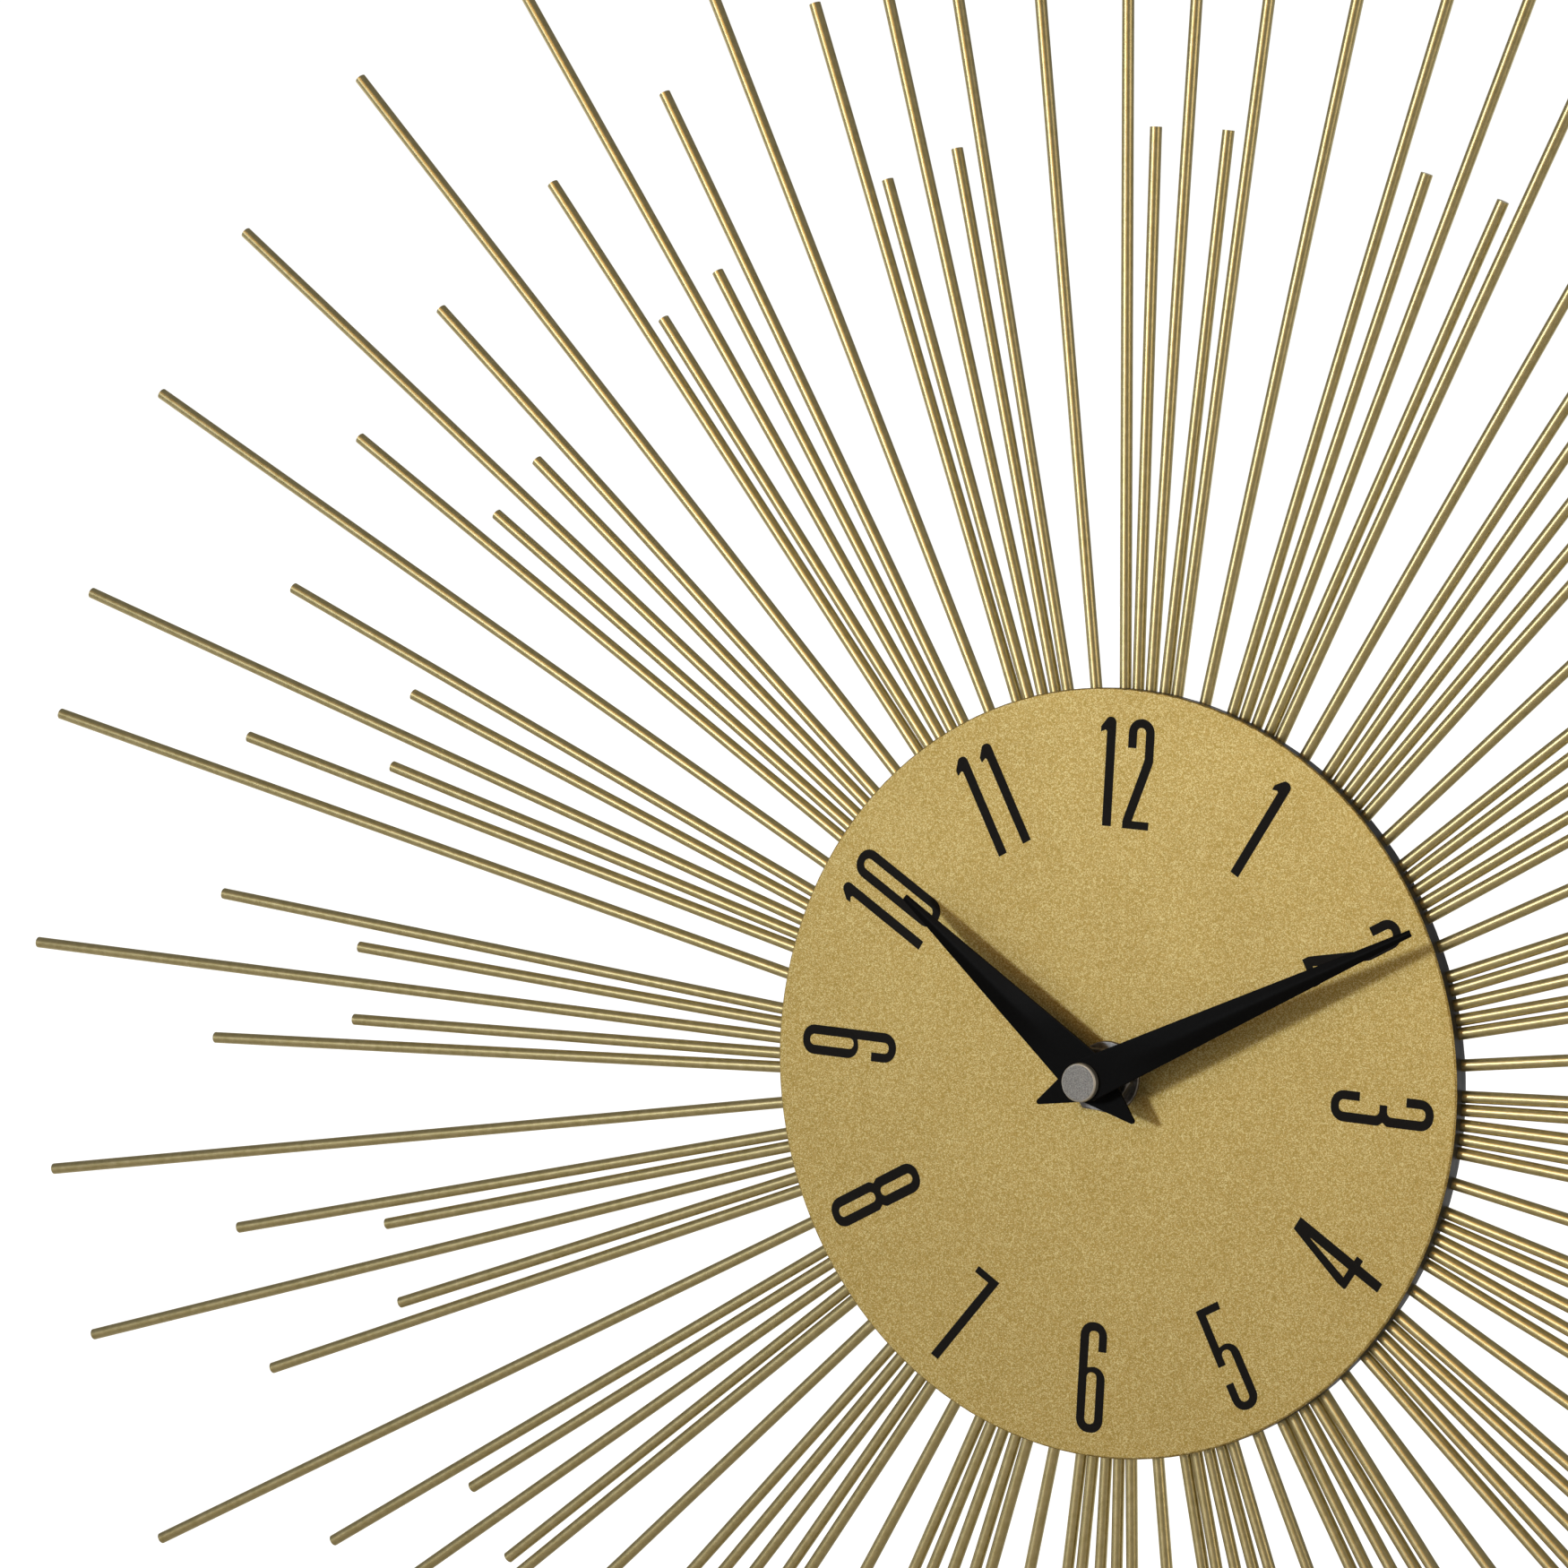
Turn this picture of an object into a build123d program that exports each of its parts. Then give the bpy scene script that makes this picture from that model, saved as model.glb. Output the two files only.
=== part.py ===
"""Sunburst wall clock with a quartz movement: one STEP file for each sub-part.

Frame: the hands turn about the Y axis. The wall is the plane Y = 0, the clock faces -Y,
+X is to the right of somebody who reads the dial, and +Z is up. A height in this script
is a distance in front of the wall, so height h is the plane Y = -h. Millimetres, degrees.
"""

from build123d import *
import os
from math import cos, radians, sin

# ---------------------------------------------------------------- driving dimensions
DIAL_RADIUS = 63.5
DIAL_CENTRE = (0.0, 0.7)       # the plates sit this far above the hands' axis
DIAL_THICKNESS = 2.0
DIAL_EDGE_ROUND = 0.3
BACKING_RADIUS = 62.4
BACKING_THICKNESS = 2.0
SPACER_DIAMETER = 24.0

ROD_DIAMETER = 2.0
ROD_INNER_RADIUS = 54.0
SECTORS = 20
FAN_START = -89.6              # clock angle of the first fan's middle rod
FAN_CENTRE = (2.6, -0.6)       # the rods were welded this far off the hands' axis
ROOT_PITCH = 2.17              # angle between neighbouring rods of a fan at the dial's rim
LONG_REACH = 231.0             # from the fan's centre to a rod's tip
MEDIUM_REACH = 189.0
SHORT_REACH = 157.0
SHORT_TIP_OFFSET = 2.5         # the tips spread a little more than the roots
MEDIUM_TIP_OFFSET = 4.2
TIP_WANDER = 0.2               # how far out of true any rod's tip is, in degrees
REACH_WANDER = 0.6             # and how much its length varies
# Some sectors lean as a whole, and some rods more than their neighbours. A sector is counted
# from 0, and a rod's place in it is -2 to 2 in the fan and 3 for the single rod.
SECTOR_LEAN = {1: -0.8, 2: -0.8, 3: -0.7, 4: -0.2, 5: 0.5, 6: 0.9, 18: -0.9, 19: -0.6}
ROD_LEAN = {(0, 3): 1.5, (1, 0): -0.8, (2, 0): -0.5, (18, 3): -0.5, (19, 3): -1.1}
SECTOR_SHORTFALL = {18: 3.0, 19: 2.5}
ROD_SHORTFALL = {(18, 3): 5.5, (19, 0): 4.0}
SINGLE = 3

CASE_DEPTH = 16.5
CASE_HALF_WIDTH = 28.5
CASE_TOP = 28.5
CASE_BOTTOM = -28.5
CASE_CORNER = 3.0
WALL = 1.2
GASKET_THICKNESS = 0.8
GASKET_SIZE = 36.0
GASKET_CORNER = 4.0
HANG_HOLE_DIAMETER = 6.0
HANG_TAB_THICKNESS = 3.0
HANG_TAB_HALF_WIDTH = 9.0
HANG_TAB_HEIGHT = 11.5
HANG_TAB_CORNER = 6.0
HANG_HOLE_Z = CASE_TOP + 6.0
COVER_GAP = 0.2                # between the rear cover and the hanging tab

BUSHING_DIAMETER = 8.0
BUSHING_BORE = 5.2
BUSHING_FLANGE = 12.0
FLANGE_PROUD = 0.2             # the flange stands this far into the case
BUSHING_LEAD_IN = 0.4          # chamfer on its front end
BUSHING_SEAT = 0.4             # what is left of the case's front wall over the flange
PLATE_HOLE = 8.6
WASHER_DIAMETER = 11.8
WASHER_THICKNESS = 0.6
WASHER_CLEARANCE = 1.4
WASHER_CENTRE = (0.5, 0.35)     # it was clamped off centre, as far as its hole lets it
WASHER_EDGE_ROUND = 0.25
NUT_ACROSS_FLATS = 10.0
NUT_THICKNESS = 2.0
NUT_TURNED = (0.45, 0.8)       # how far its corners are turned down, along and across
BUSHING_PROUD = 0.6            # the bushing's end stands this far out of the nut

PIPE_DIAMETER = 5.0            # hour pipe
PIPE_BORE = 3.3
SPINDLE_DIAMETER = 3.2         # minute spindle
SPINDLE_BORE = 1.1
SECONDS_ARBOR = 1.0

HOUR_HAND_HEIGHT = 4.7         # the hands' rear faces, above the dial's face
MINUTE_HAND_HEIGHT = 7.8
HAND_SHEET = 0.4
HAND_SHOULDER = 0.6            # the widest place, past the hands' axis
HAND_RIB = 0.35                # how far the pressed rib stands out
RIB_END_GAP = 1.0              # from the rib's end to the hand's tip
RIB_BASE = 0.32                # half the rib's width at its start, in hand widths
RIB_BASE_TIP = 0.22            # half its width at its end
RIB_CREST = (0.3, 0.12)        # half the crest's width at its start and its end
RIB_RUN_IN = (1.9, 2.3)        # where the crest starts and is at its widest, past the rib's start
RIB_RUN_OUT = 0.8              # where the crest stops, before the rib's end
HOUR_HAND_LENGTH = 45.8
HOUR_HAND_WIDTH = 8.5
HOUR_HAND_TAIL = 11.2
HOUR_RIB_START = 6.5           # from the hands' axis
HOUR_COLLAR = (7.0, 0.9)       # diameter and length of the boss behind the hand
HOUR_HAND_ANGLE = 306.0        # clockwise from twelve, at rest
MINUTE_HAND_LENGTH = 64.9
MINUTE_HAND_WIDTH = 7.2
MINUTE_HAND_TAIL = 10.1
MINUTE_RIB_START = 5.0
MINUTE_COLLAR = (5.4, 0.6)
MINUTE_HAND_ANGLE = 62.7
HAND_TIP_WIDTH = 0.9
HAND_TAIL_ROUND = 0.7
CAP_NUT_DIAMETER = 6.4
CAP_NUT_THICKNESS = 1.1
CAP_NUT_ROUND = 0.35
CAP_NUT_FLOOR = 0.5            # what closes the cap nut at the front

ARBOR_DIAMETER = 1.2
PIVOT_DIAMETER = 0.8
PIVOT_LENGTH = 0.7
PIVOT_CLEARANCE = 0.04         # radial
END_SHAKE = 0.1                # between an arbor's shoulder and its plate
ADDENDUM = 0.85                # in modules
DEDENDUM = 1.15
TOOTH_SHARES = (0.27, 0.205, 0.09)     # half a tooth's root, middle and tip, in pitches

MOTION_MODULE = 0.375          # cannon pinion, motion wheel and setting pinion
HOUR_MODULE = 0.35             # motion pinion and hour wheel
TRAIN_MODULE = 0.3             # centre wheel, third pinion; seconds wheel, intermediate pinion
ROTOR_MODULE = 0.25            # intermediate wheel and rotor pinion
CANNON_TEETH = 14
MOTION_TEETH = 42
MOTION_PINION_TEETH = 12
HOUR_TEETH = 48
SETTING_TEETH = 14
CENTRE_TEETH = 64
PINION_TEETH = 8
THIRD_TEETH = 60
SECONDS_TEETH = 40
INTERMEDIATE_TEETH = 48

MOTION_DIRECTION = 135.0       # where each arbor lies from its driver, from +X towards +Z
SETTING_DIRECTION = 150.0
THIRD_DIRECTION = 20.0
INTERMEDIATE_DIRECTION = 90.0
ROTOR_DIRECTION = 60.0

BATTERY_DIAMETER = 14.2
BATTERY_LENGTH = 50.2          # with its nub
BATTERY_NUB_DIAMETER = 5.3
BATTERY_NUB_LENGTH = 1.2
BATTERY_ROUND = 0.5
BATTERY_Z = -19.6
BATTERY_HEIGHT = 7.7
CELL_LEFT = -23.9
CONTACT_SHEET = 0.5
CONTACT_GAP = 0.2
CONTACT_SPAN = (2.5, 13.0)     # heights of the two contacts
CONTACT_HALF_WIDTH = 5.0
LEAF_HALF_WIDTH = 4.0
LEAF_BEND = (-0.5, 1.1)        # where the leaf lies flat against the cell, from the cell's axis

MAGNET_DIAMETER = 6.0
MAGNET_BORE = 1.0              # also the rotor's arbor
STATOR_GAP = 0.35
STATOR_LEG = 4.2               # width of its legs
STATOR_BELOW = 4.6             # half the height of the plate round the rotor
STATOR_ABOVE = 2.0             # from the coil's axis to the legs' ends
CORE_OVERHANG = 4.5            # from the coil's end to the core's end
COIL_Z = 22.0
COIL_DIAMETER = 6.2
COIL_LENGTH = 19.0
CORE_WIDTH = 3.2
BOBBIN_TUBE = 4.6
BOBBIN_FLANGE = 0.8
WINDING_MARGIN = 0.3           # from the winding to the flanges' rim
SCREW_AT = 2.4                 # from the coil's end
SCREW_DIAMETER = 1.4
SCREW_HEAD = (2.6, 0.7)        # diameter and height
SCREW_SLOT = (0.4, 0.3)        # width and depth

CRYSTAL_RADIUS = 1.0
CRYSTAL_LENGTH = 6.0
CRYSTAL_AT = (-13.5, -8.0)     # the can's lower end
CHIP_DIAMETER = 6.0
CHIP_HEIGHT = 1.2
CHIP_ROUND = 0.8
CHIP_AT = (-20.0, -3.5)

# ---------------------------------------------------------------- worked-out heights
GASKET_BACK = CASE_DEPTH
BACKING_BACK = GASKET_BACK + GASKET_THICKNESS
ROD_LAYER_BACK = BACKING_BACK + BACKING_THICKNESS
ROD_AXIS = ROD_LAYER_BACK + ROD_DIAMETER / 2
DIAL_BACK = ROD_LAYER_BACK + ROD_DIAMETER
DIAL_FACE = DIAL_BACK + DIAL_THICKNESS
NUT_BACK = DIAL_FACE + WASHER_THICKNESS
NUT_FRONT = NUT_BACK + NUT_THICKNESS
BUSHING_FRONT = NUT_FRONT + BUSHING_PROUD
HOUR_HAND_BACK = DIAL_FACE + HOUR_HAND_HEIGHT
MINUTE_HAND_BACK = DIAL_FACE + MINUTE_HAND_HEIGHT
CAP_NUT_BACK = MINUTE_HAND_BACK + HAND_SHEET
CAP_NUT_FRONT = CAP_NUT_BACK + CAP_NUT_THICKNESS
FRONT_INNER = CASE_DEPTH - WALL          # inner face of the case's front wall

# the train's layers, each (low, high)
HOUR_WHEEL = (14.1, 15.0)
MOTION_PINION = (14.0, 15.0)
MOTION_WHEEL = (13.0, 13.8)
CANNON = (12.9, 13.9)
CENTRE_WHEEL = (11.7, 12.5)
THIRD_PINION = (11.6, 12.6)
MIDDLE_PLATE = (10.2, 11.2)
THIRD_WHEEL = (9.1, 9.8)
SECONDS_PINION = (9.0, 9.9)
SECONDS_WHEEL = (8.0, 8.6)
INTERMEDIATE_PINION = (7.9, 8.7)
INTERMEDIATE_WHEEL = (7.0, 7.6)
ROTOR_PINION = (6.9, 7.7)
MAGNET = (5.0, 6.6)
STATOR = (5.3, 6.3)
CORE = (6.3, 7.3)
BRIDGE = (3.6, 4.6)
BOARD = (2.1, 3.1)
WING_LEFT = -25.5              # the circuit board's wing, beside the plates
WING_TOP = 4.0


# ---------------------------------------------------------------- helpers
def layer(profile, low, high):
    """The profile, drawn as somebody in front of the dial sees it, between two heights."""
    return extrude(Plane.XZ.offset(low) * profile, high - low)


def disc(diameter, low, high, at=(0, 0)):
    """A round solid between two heights, its axis through the point at."""
    return layer(Pos(at[0], at[1]) * Circle(diameter / 2), low, high)


def ring(outer, inner, low, high, at=(0, 0)):
    """A round solid with a round hole."""
    return layer(Pos(at[0], at[1]) * (Circle(outer / 2) - Circle(inner / 2)), low, high)


def block(x_low, x_high, z_low, z_high, low, high):
    """A rectangular solid from its corners and heights."""
    centre = Pos((x_low + x_high) / 2, (z_low + z_high) / 2)
    return layer(centre * Rectangle(x_high - x_low, z_high - z_low), low, high)


def step(point, direction, distance):
    """The point at a distance and direction from another."""
    angle = radians(direction)
    return (point[0] + distance * cos(angle), point[1] + distance * sin(angle))


def spacing(teeth_a, teeth_b, module):
    """The distance between the axes of two gears in mesh."""
    return (teeth_a + teeth_b) * module / 2


def mesh_phase(driver_phase, driver_teeth, driven_teeth, direction):
    """The angle of one tooth of a driven gear, in mesh with a driver at that direction."""
    offset = (driver_phase - direction) * driver_teeth / driven_teeth
    return direction + 180 - offset + 180 / driven_teeth


def gear(teeth, module, phase, low, high, at=(0, 0)):
    """A spur gear with tapered teeth, one of them at the angle phase."""
    pitch = 360 / teeth
    radius = teeth * module / 2
    root = radius - DEDENDUM * module
    tip = radius + ADDENDUM * module
    rising = ((root, -TOOTH_SHARES[0]), (radius, -TOOTH_SHARES[1]), (tip, -TOOTH_SHARES[2]))
    corners = rising + tuple((distance, -share) for distance, share in reversed(rising))
    points = []
    for i in range(teeth):
        for distance, share in corners:
            points.append(step(at, phase + (i + share) * pitch, distance))
    return layer(make_face(Polyline(*points, close=True)), low, high)


def arbor(at, low, high, diameter=ARBOR_DIAMETER):
    """A plain arbor with a thinner pivot at each end."""
    body = disc(diameter, low, high, at)
    return body + disc(PIVOT_DIAMETER, low - PIVOT_LENGTH, high + PIVOT_LENGTH, at)


def pivot_hole(at, low, high):
    """What is cut from a plate for a pivot to run in."""
    return disc(PIVOT_DIAMETER + 2 * PIVOT_CLEARANCE, low, high, at)


def save(name, shape):
    """Write one node's STEP file."""
    export_step(shape, f"parts/{name}.step")


# ---------------------------------------------------------------- arbor positions
CENTRE = (0.0, 0.0)
MOTION_AT = step(CENTRE, MOTION_DIRECTION, spacing(CANNON_TEETH, MOTION_TEETH, MOTION_MODULE))
SETTING_AT = step(MOTION_AT, SETTING_DIRECTION, spacing(MOTION_TEETH, SETTING_TEETH, MOTION_MODULE))
THIRD_DISTANCE = spacing(CENTRE_TEETH, PINION_TEETH, TRAIN_MODULE)
THIRD_AT = step(CENTRE, THIRD_DIRECTION, THIRD_DISTANCE)
THIRD_WHEEL_MODULE = 2 * THIRD_DISTANCE / (THIRD_TEETH + PINION_TEETH)
INTERMEDIATE_AT = step(
    CENTRE, INTERMEDIATE_DIRECTION, spacing(SECONDS_TEETH, PINION_TEETH, TRAIN_MODULE)
)
ROTOR_AT = step(
    INTERMEDIATE_AT, ROTOR_DIRECTION, spacing(INTERMEDIATE_TEETH, PINION_TEETH, ROTOR_MODULE)
)
KNOB_DIAMETER = 9.4
KNOB_BACK = 0.4                # the knob is this far in front of the wall
KNOB_GROOVES = 24
KNOB_GROOVE_DIAMETER = 0.6
KNOB_STEM = 2.4
KNOB_WELL_DIAMETER = 12.6
KNOB_WELL_FLOOR = 3.2
KNOB_WELL_WALL = 1.0
POSTS = ((-8.2, -8.8), (24.2, -8.8), (24.2, 15.2))     # what the plates and the board sit on
POST_FOOT = 3.4                # the posts step down towards the back, one step for each plate
POST_MIDDLE = 2.4
POST_PIN = 1.6
POST_CLEARANCE = 0.1
PLATE_SPAN = (-9.5, 26.4)      # the train's two plates, from left to right
PLATE_TOP = 17.4
PLATE_GAP = 0.3                # from the plates to the battery's trough
PLATE_REACH = 1.2              # the middle plate goes this much further to the left
BOARD_TOP = 16.8
BATTERY_ROOM = 0.5             # round the cell
DIVIDER_Z = BATTERY_Z + BATTERY_DIAMETER / 2 + BATTERY_ROOM
DIVIDER_TOP = DIVIDER_Z + WALL


# ---------------------------------------------------------------- the sunburst
def rod(root_angle, tip_angle, reach):
    """One straight rod. Angles are clock angles about the fan's centre."""
    ends = []
    for angle, distance in ((root_angle, ROD_INNER_RADIUS), (tip_angle, reach)):
        ends.append(
            Vector(
                FAN_CENTRE[0] + distance * sin(radians(angle)),
                -ROD_AXIS,
                FAN_CENTRE[1] + distance * cos(radians(angle)),
            )
        )
    along = ends[1] - ends[0]
    start = Plane(origin=ends[0], z_dir=along)
    return extrude(start * Circle(ROD_DIAMETER / 2), along.length)


def wander(seed, size):
    """A small repeatable deviation between -size and +size."""
    return size * sin(12.9898 * seed + 4.1414 * sin(7.233 * seed))


def placed_rod(number, place, middle, root_offset, tip_offset, reach):
    """One rod of a sector, with its own errors of angle and length."""
    seed = 6 * number + place
    lean = SECTOR_LEAN.get(number, 0.0) + ROD_LEAN.get((number, place), 0.0)
    shortfall = SECTOR_SHORTFALL.get(number, 0.0) + ROD_SHORTFALL.get((number, place), 0.0)
    tip = middle + tip_offset + lean + wander(seed, TIP_WANDER)
    return rod(middle + root_offset, tip, reach - shortfall + wander(seed + 0.5, REACH_WANDER))


def ray_sector(number):
    """The fan of five rods and the single rod after it, clockwise."""
    middle = FAN_START + number * 360 / SECTORS
    half = 180 / SECTORS
    fan = (
        (-2, -MEDIUM_TIP_OFFSET, MEDIUM_REACH),
        (-1, -SHORT_TIP_OFFSET, SHORT_REACH),
        (0, 0.0, LONG_REACH),
        (1, SHORT_TIP_OFFSET, SHORT_REACH),
        (2, MEDIUM_TIP_OFFSET, MEDIUM_REACH),
    )
    rods = [placed_rod(number, SINGLE, middle, half, half, LONG_REACH)]
    for place, tip_offset, reach in fan:
        rods.append(placed_rod(number, place, middle, place * ROOT_PITCH, tip_offset, reach))
    return Compound(rods)


# ---------------------------------------------------------------- the dial and its clamp
def dial_plate():
    plate = disc(2 * DIAL_RADIUS, DIAL_BACK, DIAL_FACE, DIAL_CENTRE)
    plate -= disc(PLATE_HOLE, 0, DIAL_FACE + 1)
    front_edge = plate.edges().filter_by(GeomType.CIRCLE).sort_by(Axis.Y)[0:2]
    return fillet(front_edge.sort_by(SortBy.RADIUS)[-1], DIAL_EDGE_ROUND)


def backing_plate():
    plate = disc(2 * BACKING_RADIUS, BACKING_BACK, ROD_LAYER_BACK, DIAL_CENTRE)
    return plate - disc(PLATE_HOLE, 0, DIAL_FACE)


def spacer_ring():
    return ring(SPACER_DIAMETER, PLATE_HOLE, ROD_LAYER_BACK, DIAL_BACK)


def gasket():
    profile = RectangleRounded(GASKET_SIZE, GASKET_SIZE, GASKET_CORNER) - Circle(PLATE_HOLE / 2)
    return layer(profile, GASKET_BACK, BACKING_BACK)


def threaded_bushing():
    """The brass tube that carries the hour pipe, with a flange inside the case's front wall."""
    flange_back = FRONT_INNER - FLANGE_PROUD
    tube = disc(BUSHING_DIAMETER, FRONT_INNER, BUSHING_FRONT)
    tube = chamfer(tube.edges().sort_by(Axis.Y)[0], BUSHING_LEAD_IN)
    tube += disc(BUSHING_FLANGE, flange_back, CASE_DEPTH - BUSHING_SEAT)
    return tube - disc(BUSHING_BORE, 0, BUSHING_FRONT + 1)


def dial_washer():
    bore = BUSHING_DIAMETER + WASHER_CLEARANCE
    washer = ring(WASHER_DIAMETER, bore, DIAL_FACE, NUT_BACK, WASHER_CENTRE)
    rim = washer.edges().filter_by(GeomType.CIRCLE).sort_by(Axis.Y)[0:2]
    return fillet(rim.sort_by(SortBy.RADIUS)[-1], WASHER_EDGE_ROUND)


def hex_nut():
    """A thin hexagon nut, its corners turned down at the front."""
    corner_radius = NUT_ACROSS_FLATS / 3**0.5
    nut = layer(RegularPolygon(corner_radius, 6), NUT_BACK, NUT_FRONT)
    turned = disc(2 * corner_radius, NUT_BACK, NUT_FRONT)
    turned = chamfer(turned.edges().sort_by(Axis.Y)[0], *NUT_TURNED)
    return (nut & turned) - disc(BUSHING_DIAMETER, 0, NUT_FRONT + 1)


# ---------------------------------------------------------------- hands
def hand_outline(length, width, tail):
    """A long kite with a rounded tail and a narrow blunt tip, pointing up from the origin."""
    half = width / 2
    tip = HAND_TIP_WIDTH / 2
    face = make_face(
        Polyline((0, -tail), (half, HAND_SHOULDER), (tip, length), (-tip, length),
                 (-half, HAND_SHOULDER), close=True)
    )
    tail_corner = face.vertices().sort_by(Axis.Y)[0]
    face = fillet(tail_corner, HAND_TAIL_ROUND)
    return fillet(face.vertices().sort_by(Axis.Y)[-2:], 0.6 * tip)


def rib_outline(start, shoulder, end, half_start, half_end):
    """Pointed at its start, widest at its shoulder, blunt at its end."""
    return make_face(
        Polyline((0, start), (half_start, shoulder), (half_end, end), (-half_end, end),
                 (-half_start, shoulder), close=True)
    )


def pressed_rib(length, width, start):
    """The ridge along the middle of a hand, on the sheet's front face."""
    end = length - RIB_END_GAP
    half = RIB_BASE * width
    base = rib_outline(start, start + half, end, half, RIB_BASE_TIP)
    crest = rib_outline(start + RIB_RUN_IN[0], start + RIB_RUN_IN[1], end - RIB_RUN_OUT, *RIB_CREST)
    low = Plane.XZ.offset(HAND_SHEET)
    return loft([low * base, low.offset(HAND_RIB) * crest], ruled=True)


def hand(length, width, tail, rib_start, angle, back, hole, collar):
    """A hand with its rib in front and a collar behind, turned to its clock angle."""
    shape = layer(hand_outline(length, width, tail), 0, HAND_SHEET)
    shape += pressed_rib(length, width, rib_start)
    shape += disc(collar[0], -collar[1], 0)
    shape -= disc(hole, -collar[1] - 1, HAND_SHEET + 1)
    return Pos(0, -back, 0) * Rot(0, angle, 0) * shape


def hour_hand():
    return hand(
        HOUR_HAND_LENGTH, HOUR_HAND_WIDTH, HOUR_HAND_TAIL, HOUR_RIB_START, HOUR_HAND_ANGLE,
        HOUR_HAND_BACK, PIPE_DIAMETER, HOUR_COLLAR,
    )


def minute_hand():
    return hand(
        MINUTE_HAND_LENGTH, MINUTE_HAND_WIDTH, MINUTE_HAND_TAIL, MINUTE_RIB_START,
        MINUTE_HAND_ANGLE, MINUTE_HAND_BACK, SPINDLE_DIAMETER, MINUTE_COLLAR,
    )


def cap_nut():
    cap = disc(CAP_NUT_DIAMETER, CAP_NUT_BACK, CAP_NUT_FRONT)
    cap = fillet(cap.edges().sort_by(Axis.Y)[0], CAP_NUT_ROUND)
    return cap - disc(SPINDLE_DIAMETER, 0, CAP_NUT_FRONT - CAP_NUT_FLOOR)


# ---------------------------------------------------------------- the train
def minute_spindle():
    """A tube through the hour pipe, with the cannon pinion and a shoulder for the centre wheel."""
    phase = MOTION_DIRECTION
    front = CAP_NUT_FRONT - CAP_NUT_FLOOR - END_SHAKE
    spindle = disc(SPINDLE_DIAMETER, MIDDLE_PLATE[1] + END_SHAKE, front)
    spindle += gear(CANNON_TEETH, MOTION_MODULE, phase, *CANNON)
    return spindle - disc(SPINDLE_BORE, 0, CAP_NUT_FRONT)


def hour_wheel():
    motion_phase = 0.0
    phase = mesh_phase(motion_phase, MOTION_PINION_TEETH, HOUR_TEETH, MOTION_DIRECTION + 180)
    wheel = gear(HOUR_TEETH, HOUR_MODULE, phase, *HOUR_WHEEL)
    wheel += disc(PIPE_DIAMETER, HOUR_WHEEL[0], HOUR_HAND_BACK + HAND_SHEET)
    return wheel - disc(PIPE_BORE, 0, HOUR_HAND_BACK + 1)


def motion_wheel():
    phase = mesh_phase(MOTION_DIRECTION, CANNON_TEETH, MOTION_TEETH, MOTION_DIRECTION)
    wheel = gear(MOTION_TEETH, MOTION_MODULE, phase, *MOTION_WHEEL, MOTION_AT)
    pinion = (MOTION_WHEEL[1], MOTION_PINION[1])
    wheel += gear(MOTION_PINION_TEETH, HOUR_MODULE, 0.0, *pinion, MOTION_AT)
    return wheel + arbor(MOTION_AT, MIDDLE_PLATE[1] + END_SHAKE, FRONT_INNER - END_SHAKE)


def setting_knob():
    """The hand-setting knob on the back, with its arbor and pinion."""
    motion_phase = mesh_phase(MOTION_DIRECTION, CANNON_TEETH, MOTION_TEETH, MOTION_DIRECTION)
    phase = mesh_phase(motion_phase, MOTION_TEETH, SETTING_TEETH, SETTING_DIRECTION)
    knob_front = KNOB_WELL_FLOOR - 0.3
    knob = disc(KNOB_DIAMETER, KNOB_BACK, knob_front, SETTING_AT)
    for i in range(KNOB_GROOVES):
        at = step(SETTING_AT, i * 360 / KNOB_GROOVES, KNOB_DIAMETER / 2)
        knob -= disc(KNOB_GROOVE_DIAMETER, KNOB_BACK, knob_front, at)
    knob += disc(KNOB_STEM, knob_front, CANNON[1], SETTING_AT)
    knob += gear(SETTING_TEETH, MOTION_MODULE, phase, *CANNON, SETTING_AT)
    pivot_front = FRONT_INNER + PIVOT_LENGTH - END_SHAKE
    return knob + disc(PIVOT_DIAMETER, CANNON[1], pivot_front, SETTING_AT)


def centre_wheel():
    wheel = gear(CENTRE_TEETH, TRAIN_MODULE, 0.0, *CENTRE_WHEEL)
    return wheel - disc(SPINDLE_DIAMETER, 0, CASE_DEPTH)


def third_wheel():
    pinion_phase = mesh_phase(0.0, CENTRE_TEETH, PINION_TEETH, THIRD_DIRECTION)
    wheel = gear(THIRD_TEETH, THIRD_WHEEL_MODULE, 0.0, *THIRD_WHEEL, THIRD_AT)
    wheel += gear(PINION_TEETH, TRAIN_MODULE, pinion_phase, *THIRD_PINION, THIRD_AT)
    return wheel + arbor(THIRD_AT, BRIDGE[1] + END_SHAKE, FRONT_INNER - END_SHAKE)


def seconds_wheel():
    pinion_phase = mesh_phase(0.0, THIRD_TEETH, PINION_TEETH, THIRD_DIRECTION + 180)
    wheel = gear(SECONDS_TEETH, TRAIN_MODULE, 0.0, *SECONDS_WHEEL)
    wheel += gear(PINION_TEETH, THIRD_WHEEL_MODULE, pinion_phase, *SECONDS_PINION)
    shoulder = BRIDGE[1] + END_SHAKE
    wheel += disc(SECONDS_ARBOR, shoulder, CAP_NUT_FRONT - CAP_NUT_FLOOR - 0.3)
    return wheel + disc(PIVOT_DIAMETER, shoulder - PIVOT_LENGTH, shoulder)


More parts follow.
